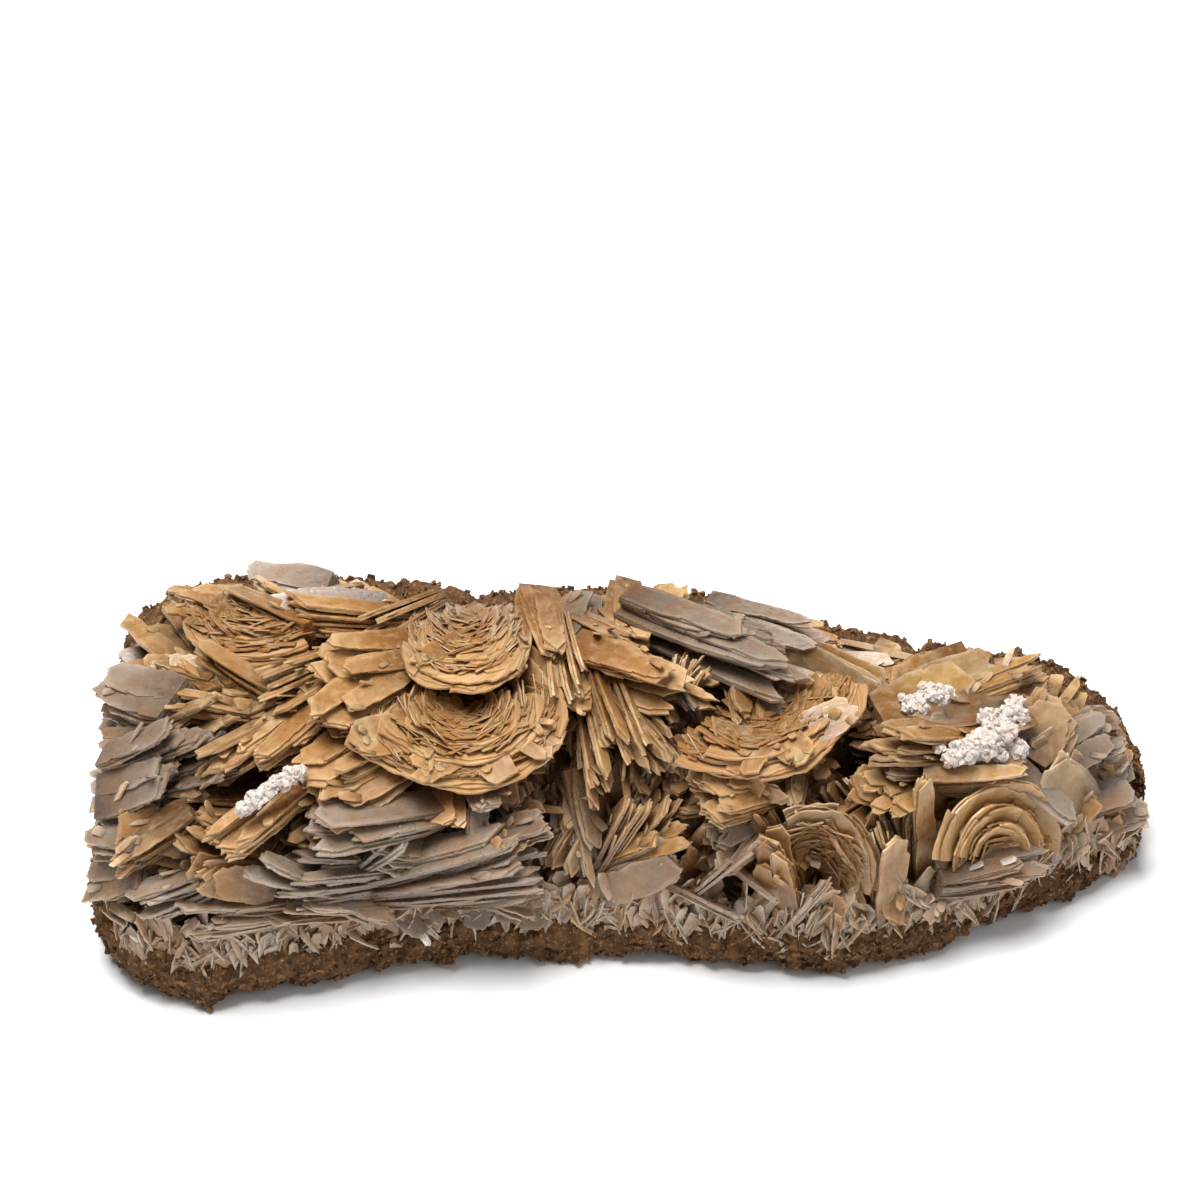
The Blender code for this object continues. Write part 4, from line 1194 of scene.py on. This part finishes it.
def tube_faces(rings, count):
    """Faces of a closed tube: rings of points along it, with count points each."""
    faces = []
    for ring in range(rings - 1):
        faces += wall_faces(ring * count, (ring + 1) * count, count)
    faces.append(tuple(range(count)))
    faces.append(tuple(reversed(range((rings - 1) * count, rings * count))))
    return faces


def mass_shape():
    """The brown crystal mass that the books grow from."""
    first = SECTIONS[0][0] + MASS_ENDS[0]
    last = SECTIONS[-1][0] - MASS_ENDS[1]
    points = []
    for column in range(MASS_COLUMNS + 1):
        x = first + (last - first) * column / MASS_COLUMNS
        front, back, _top, band = section(x)
        middle = Vector((x, (front + back) / 2, band * 0.8))
        for row in range(MASS_ROWS + 1):
            point = profile(x, MASS_FROM + MASS_SPAN * row / MASS_ROWS)
            inset = MASS_INSET + hollow_depth(x, point.dot(UP))
            points.append(lumpy(point + (middle - point).normalized() * inset, MASS_LUMPS))
        points += [middle + Vector(foot) for foot in MASS_FOOT]
    faces = tube_faces(MASS_COLUMNS + 1, MASS_ROWS + 1 + len(MASS_FOOT))
    # The walls start at their second corner, so that they split along their other diagonal
    faces[:-2] = [face[1:] + face[:1] for face in faces[:-2]]
    shape = Shape()
    shape.add_plain(points, faces, Vector(TINTS["brown"]))
    return shape


def rock_corners(x, shrink):
    """Closed cross section of the rock: flat foot, low front band, bare back wall."""
    front, back, top, band = section(x)
    depth = back - front
    ridge = profile(x, ROCK_RIDGE)
    corners = (
        (front + 4.5, 0),
        (front + 0.8, 2.2),
        (front, 0.55 * band),
        (front + 1.5, band - 1.5),
        (front + 0.40 * depth, band + 3),
        (front + 0.70 * depth, 0.52 * top),
        (ridge.y - 3, ridge.z - 0.6),
        (ridge.y + 3, ridge.z + 1.6),
        (back - 1.5, band + 0.55 * (top - band)),
        (back, band),
        (back - 1.5, 3),
        (back - 6, 0),
    )
    middle = Vector((x, (front + back) / 2, 0.4 * band))
    ring = []
    for y, z in corners:
        point = middle + (Vector((x, y, z)) - middle) * shrink
        if z == 0:
            point.z = 0
        ring.append(point)
    return ring, middle


def evenly_spaced(ring, count):
    """Points at equal steps round a closed line of corners."""
    lengths = [(ring[(i + 1) % len(ring)] - ring[i]).length for i in range(len(ring))]
    total = sum(lengths)
    points = []
    for i in range(count):
        left = total * i / count
        side = 0
        while left > lengths[side]:
            left -= lengths[side]
            side += 1
        share = left / lengths[side]
        points.append(ring[side].lerp(ring[(side + 1) % len(ring)], share))
    return points


def rough_rock_point(point, middle):
    """A point of the rock's surface, moved in or out by its lumps, pits and grain."""
    outwards = point - middle
    outwards.x = 0
    if outwards.length > 0:
        outwards.normalize()
    moved = lumpy(point, ROCK_LUMPS)
    grain = noise.noise(point / 1.9) * 0.9 + noise.noise(point / 0.8 + Vector((7, 0, 0))) * 0.45
    pits = max(0.0, noise.noise(point / PIT_SIZE + Vector((0, 31, 0))) - PIT_FROM) * PIT_DEPTH
    moved += outwards * (grain - pits)
    moved.z = max(moved.z, 0.0)
    return moved


def rock_grid():
    """Rings of rough points along the rock, closed towards both ends."""
    first, last = SECTIONS[0][0], SECTIONS[-1][0]
    plan = [(first - ROCK_END_REACH * (1 - share), share) for share in ROCK_END_SHARES]
    plan += [(first + (last - first) * i / ROCK_SECTIONS, 1.0) for i in range(ROCK_SECTIONS + 1)]
    plan += [(last + ROCK_END_REACH * (1 - share), share) for share in reversed(ROCK_END_SHARES)]
    grid = []
    for x, shrink in plan:
        ring, middle = rock_corners(x, shrink)
        line = [rough_rock_point(point, middle) for point in evenly_spaced(ring, ROCK_AROUND)]
        grid.append((line, middle))
    return grid


def rock_colour(point):
    """Brown of the rock at a point, with orange and grey patches."""
    orange = 0.5 + 0.5 * noise.noise(point / 11)
    grey = 0.5 + 0.5 * noise.noise(point / 5 + Vector((40, 0, 0)))
    return mixed(mixed(ROCK_BROWN, ROCK_ORANGE, orange), ROCK_GREY, grey * 0.5)


def rock_shape(grid):
    """The rock's rough surface."""
    shape = Shape()
    points = [point for line, _middle in grid for point in line]
    tints = [rock_colour(point) for point in points]
    shape.add(points, tube_faces(len(grid), ROCK_AROUND), tints, [tuple(point) for point in points], 0.0)
    return shape


def random_vector(draw):
    """A vector with a random length and direction."""
    return Vector([draw.uniform(-1, 1) for _ in range(3)])


def add_grain(shape, draw, point, normal):
    """One tiny crossed plate of the rock, set at a slant in its surface."""
    size = draw.uniform(*GRAIN_SIZE)
    up = (normal + random_vector(draw) * GRAIN_TILT).normalized()
    side = up.cross(random_vector(draw)).normalized()
    flat = up.cross(side)
    half = size * draw.uniform(*GRAIN_HALF)
    thin = size * draw.uniform(*GRAIN_THIN)
    corners = []
    for level, spread in ((-0.6, 1.0), (0.7, 0.7)):
        for a, b in ((-1, -1), (1, -1), (1, 1), (-1, 1)):
            corner = point + up * (level * size * 0.6) + side * (a * half * spread) + flat * (b * thin)
            corner.z = max(corner.z, 0.0)
            corners.append(corner)
    shape.add_plain(corners, plate_faces(4), rock_colour(point) * draw.uniform(*GRAIN_SHADE))


def grain_shape(grid, draw):
    """Tiny plates over the rock's front, back, ends and ridge."""
    shape = Shape()
    made = 0
    while made < ROCK_GRAINS:
        column = draw.randrange(1, len(grid) - 1)
        row = draw.randrange(ROCK_AROUND)
        line, middle = grid[column]
        point = line[row]
        front, back, _top, band = section(point.x)
        covered = point.z > band + 1 and point.y < front + CRYSTAL_REACH * (back - front)
        if covered or point.z < 0.2:
            continue
        normal = point - middle
        normal.x *= 0.3
        add_grain(shape, draw, point, normal.normalized())
        made += 1
    return shape


def ball(radius, levels):
    """Points and faces of a ball round the origin."""
    work = bmesh.new()
    bmesh.ops.create_icosphere(work, subdivisions=levels, radius=radius)
    points = [vert.co.copy() for vert in work.verts]
    faces = [tuple(vert.index for vert in face.verts) for face in work.faces]
    work.free()
    return points, faces


def stretched(direction):
    """A direction from a lump's centre, stretched to the lump's shape."""
    return Vector([value * axis for value, axis in zip(direction, LUMP_AXES)])


def crust_shape(lumps, draw):
    """A knobbly crust: rounded lumps covered with tiny knobs."""
    shape = Shape()
    core_points, core_faces = ball(1.0, 4)
    knob_points, knob_faces = ball(1.0, 2)
    for x, rise, out, radius in lumps:
        centre = face_point(x, rise, out)
        core = [lumpy(centre + stretched(point) * (radius * LUMP_CORE), CORE_LUMPS) for point in core_points]
        shape.add_plain(core, core_faces, CRUST_WHITE * KNOB_SHADE[0])
        for _ in range(round(KNOBS_PER_AREA * radius * radius) + KNOBS_PER_LUMP):
            direction = Vector([draw.gauss(0, 1) for _ in range(3)]).normalized()
            middle = centre + stretched(direction) * (radius * draw.uniform(*KNOB_DEPTH))
            size = draw.triangular(*KNOB_RADIUS)
            knob = [lumpy(middle + point * size, KNOB_LUMPS) for point in knob_points]
            shape.add_plain(knob, knob_faces, CRUST_WHITE * draw.uniform(*KNOB_SHADE))
    return shape


class Look:
    """A material, with short ways to add nodes to it."""

    def __init__(self, name):
        self.material = bpy.data.materials.new(name)
        self.material.use_nodes = True
        self.tree = self.material.node_tree
        self.tree.nodes.clear()
        self.shader = self.tree.nodes.new("ShaderNodeBsdfPrincipled")
        output = self.tree.nodes.new("ShaderNodeOutputMaterial")
        self.tree.links.new(self.shader.outputs["BSDF"], output.inputs["Surface"])
        self.space = self.tree.nodes.new("ShaderNodeTexCoord").outputs["Object"]

    def node(self, kind, result, sockets):
        """Add a node, link or set its sockets, and return one of its outputs."""
        node = self.tree.nodes.new(kind)
        for name, value in sockets.items():
            self.feed(node.inputs[name], value)
        return node.outputs[result]

    def feed(self, socket, value):
        """Link a socket to an output, or set its value."""
        if isinstance(value, bpy.types.NodeSocket):
            self.tree.links.new(value, socket)
        else:
            socket.default_value = value

    def attribute(self, name, result):
        """An attribute of the mesh."""
        node = self.tree.nodes.new("ShaderNodeAttribute")
        node.attribute_name = name
        return node.outputs[result]

    def noise(self, vector, scale, detail, stretch=(1, 1, 1)):
        """Noise over a vector, stretched by axis."""
        vector = self.node("ShaderNodeMapping", "Vector", {"Scale": stretch, "Vector": vector})
        return self.node("ShaderNodeTexNoise", "Fac", {"Scale": scale, "Detail": detail, "Vector": vector})

    def ranged(self, value, low, high, to_low, to_high):
        """A value spread from one range to another, kept within its ends."""
        ends = {"From Min": low, "From Max": high, "To Min": to_low, "To Max": to_high}
        return self.node("ShaderNodeMapRange", "Result", {"Value": value, **ends})

    def covered(self, colour, value, span, other, mask=None):
        """A colour covered with another as a value runs over a span, and less where a mask is low."""
        factor = self.ranged(value, *span)
        if mask is not None:
            product = self.tree.nodes.new("ShaderNodeMath")
            product.operation = "MULTIPLY"
            self.feed(product.inputs[0], factor)
            self.feed(product.inputs[1], mask)
            factor = product.outputs["Value"]
        mix = self.tree.nodes.new("ShaderNodeMix")
        mix.data_type = "RGBA"
        self.feed(mix.inputs["Factor"], factor)
        self.feed(mix.inputs["A"], colour)
        self.feed(mix.inputs["B"], (*other, 1.0))
        return mix.outputs["Result"]

    def finish(self, colour, roughness, bumps, shading):
        """Set the shader's colour, roughness, bumps as (height, strength, distance) and other values."""
        self.feed(self.shader.inputs["Base Color"], colour)
        self.feed(self.shader.inputs["Roughness"], roughness)
        before = {}
        for height, strength, distance in bumps:
            sockets = {"Height": height, "Strength": strength, "Distance": distance, **before}
            before = {"Normal": self.node("ShaderNodeBump", "Normal", sockets)}
        for name, value in {**shading, **before}.items():
            self.feed(self.shader.inputs[name], value)
        return self.material


def crystal_material():
    """Translucent layered crystal: its leaf's colour, with painted shade and brown stain in the depths, and
    stained in patches.
    """
    look = Look("barite")
    place = look.attribute("place", "Vector")
    clear = look.attribute("clear", "Fac")
    layers = look.noise(place, 1.0, 3.0, (0.12, 0.12, 7.0))
    scales = look.noise(place, 0.9, 4.0, (0.6, 1.0, 1.0))
    cloud = look.noise(place, 0.30, 5.0)
    patches = look.noise(look.space, 90.0, 5.0)
    fine = look.noise(look.space, 1100.0, 3.0)
    stainable = look.ranged(clear, 0.22, 0.45, 1.0, 0.45)
    colour = look.attribute("tint", "Color")
    colour = look.covered(colour, layers, (0.50, 0.70, 0.0, 0.45), PALE * 0.95, stainable)
    colour = look.covered(colour, layers, (0.30, 0.44, 0.25, 0.0), LAYER_STAIN, stainable)
    colour = look.covered(colour, cloud, (0.38, 0.58, 0.48, 0.0), CLOUD_STAIN, stainable)
    colour = look.covered(colour, scales, (0.52, 0.68, 0.0, 0.25), PALE, stainable)
    colour = look.covered(colour, patches, (0.50, 0.68, 0.0, 0.50), PATCH_STAIN)
    # Painted shade with some brown stain, stronger the deeper a point lies under the outline
    colour = look.covered(colour, look.attribute("deep", "Fac"), (0.5, 6.0, 0.0, 0.95), DEEP_SHADE_AND_STAIN)
    bumps = ((scales, 0.22, 0.0003), (layers, 0.35, 0.0002), (fine, 0.25, 0.0002))
    shading = {
        "Transmission Weight": clear,
        "IOR": 1.64,
        "Specular IOR Level": 0.30,
        "Subsurface Weight": 0.6,
        "Subsurface Radius": (1.0, 0.75, 0.5),
        "Subsurface Scale": 0.0007,
    }
    return look.finish(colour, look.ranged(scales, 0.35, 0.68, 0.24, 0.50), bumps, shading)


def rock_material():
    """Rough brown granular rock with orange patches and pale specks."""
    look = Look("rock")
    specks = look.noise(look.space, 1400.0, 3.0)
    mottle = look.noise(look.space, 420.0, 6.0)
    colour = look.attribute("tint", "Color")
    colour = look.covered(colour, mottle, (0.38, 0.60, 0.0, 0.85), ROCK_PIT)
    colour = look.covered(colour, specks, (0.56, 0.70, 0.0, 0.6), ROCK_SPECK)
    bumps = ((mottle, 1.0, 0.0009), (specks, 0.6, 0.0003))
    roughness = look.ranged(mottle, 0.3, 0.7, 0.75, 0.98)
    return look.finish(colour, roughness, bumps, {"Specular IOR Level": 0.15})


def crust_material():
    """White sugary mineral crust, a little pink and brown in patches."""
    look = Look("crust")
    stain = look.noise(look.space, 260.0, 4.0)
    fine = look.noise(look.space, 2200.0, 3.0)
    colour = look.covered(look.attribute("tint", "Color"), stain, (0.55, 0.75, 0.0, 0.7), CRUST_STAIN)
    shading = {
        "Subsurface Weight": 0.3,
        "Subsurface Radius": (1.0, 0.8, 0.7),
        "Subsurface Scale": 0.001,
    }
    return look.finish(colour, look.ranged(fine, 0.3, 0.7, 0.6, 0.9), ((fine, 0.5, 0.0002),), shading)


def floor_material():
    """Plain pale floor."""
    look = Look("floor")
    shade = look.noise(look.space, 3.0, 2.0)
    colour = look.covered((*FLOOR_TINTS[0], 1.0), shade, (0.3, 0.7, 0.0, 1.0), FLOOR_TINTS[1])
    return look.finish(colour, look.ranged(shade, 0.3, 0.7, 0.6, 0.7), (), {})


def placed(piece, node):
    """Fix a finished piece to the part."""
    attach(piece, "root")
    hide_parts(node)


def make_crystals(material):
    """All crystal pieces, by region."""
    shapes = {}
    for name, (low, high) in BLADE_REGIONS.items():
        shapes[name] = Shape()
        draw = random.Random(name)
        for book in BOOKS:
            if low <= (book[0][0] + book[1][0]) / 2 < high:
                add_book(shapes[name], draw, *book)
    shapes["rosettes"] = Shape()
    draw = random.Random(SEED)
    for rosette in ROSETTES:
        add_rosette(shapes["rosettes"], draw, rosette)
    for name, (low, high) in FILLER_REGIONS.items():
        shapes[name] = Shape()
        add_filler(shapes[name], random.Random(name), low, high, FILLER_COUNT // 2)
    shapes["boxwork"] = Shape()
    draw = random.Random(SEED + 1)
    add_boxwork(shapes["boxwork"], draw)
    add_end_ledges(shapes["boxwork"], draw)
    shapes["crystal_mass"] = mass_shape()
    for name, shape in shapes.items():
        placed(shape.build(name, material, name == "rosettes"), "barite_crystals")


def make_rock(material):
    """The rock's surface and its grain."""
    grid = rock_grid()
    placed(rock_shape(grid).build("rock", material), "matrix")
    placed(grain_shape(grid, random.Random(SEED)).build("rock_grain", material), "matrix")


def make_crusts(material):
    """The three white crusts."""
    for node, lumps in WHITE_LUMPS.items():
        shape = crust_shape(lumps, random.Random(node))
        placed(shape.build(node + "_knobs", material, True), node)


def make_floor():
    """The floor, which is not part of the specimen."""
    mesh = bpy.data.meshes.new("floor")
    corners = [(x * FLOOR_HALF, y * FLOOR_HALF, 0) for x, y in ((-1, -1), (1, -1), (1, 1), (-1, 1))]
    mesh.from_pydata(corners, [], [(0, 1, 2, 3)])
    mesh.materials.append(floor_material())
    floor = linked("floor", mesh)


def add_light(name, place, size, power):
    """A square area light that points at the specimen."""
    data = bpy.data.lights.new(name, "AREA")
    data.size = size
    data.energy = power
    light = linked(name, data)
    light.location = place
    light.rotation_mode = "QUATERNION"
    light.rotation_quaternion = (LAMP_TARGET - Vector(place)).to_track_quat("-Z", "Y")


def make_lights():
    """Soft studio light from above."""
    for name, lamp in LAMPS.items():
        add_light(name, *lamp)
    world = bpy.data.worlds.new("studio")
    world.use_nodes = True
    background = world.node_tree.nodes["Background"]
    background.inputs["Color"].default_value = (1.0, 1.0, 1.0, 1.0)
    background.inputs["Strength"].default_value = WORLD_STRENGTH
    bpy.context.scene.world = world
    bpy.context.scene.view_settings.view_transform = "Standard"


def make_camera():
    """Camera at the photograph's viewing angle."""
    data = bpy.data.cameras.new("camera")
    data.lens = LENS
    data.sensor_width = SENSOR
    data.clip_start = 0.01
    camera = linked("camera", data)
    place = TARGET + TOWARDS * CAMERA_DISTANCE
    pitch = VIEW_ANGLE - math.atan(TARGET_DOWN)
    yaw = math.atan(TARGET_RIGHT)
    forward = Vector((-math.sin(yaw) * math.cos(pitch), math.cos(yaw) * math.cos(pitch), -math.sin(pitch)))
    camera.location = (place - CENTRE) * MM
    camera.rotation_mode = "QUATERNION"
    camera.rotation_quaternion = forward.to_track_quat("-Z", "Y")
    bpy.context.scene.camera = camera


make_camera()
make_lights()
make_floor()
make_rock(rock_material())
make_crystals(crystal_material())
make_crusts(crust_material())
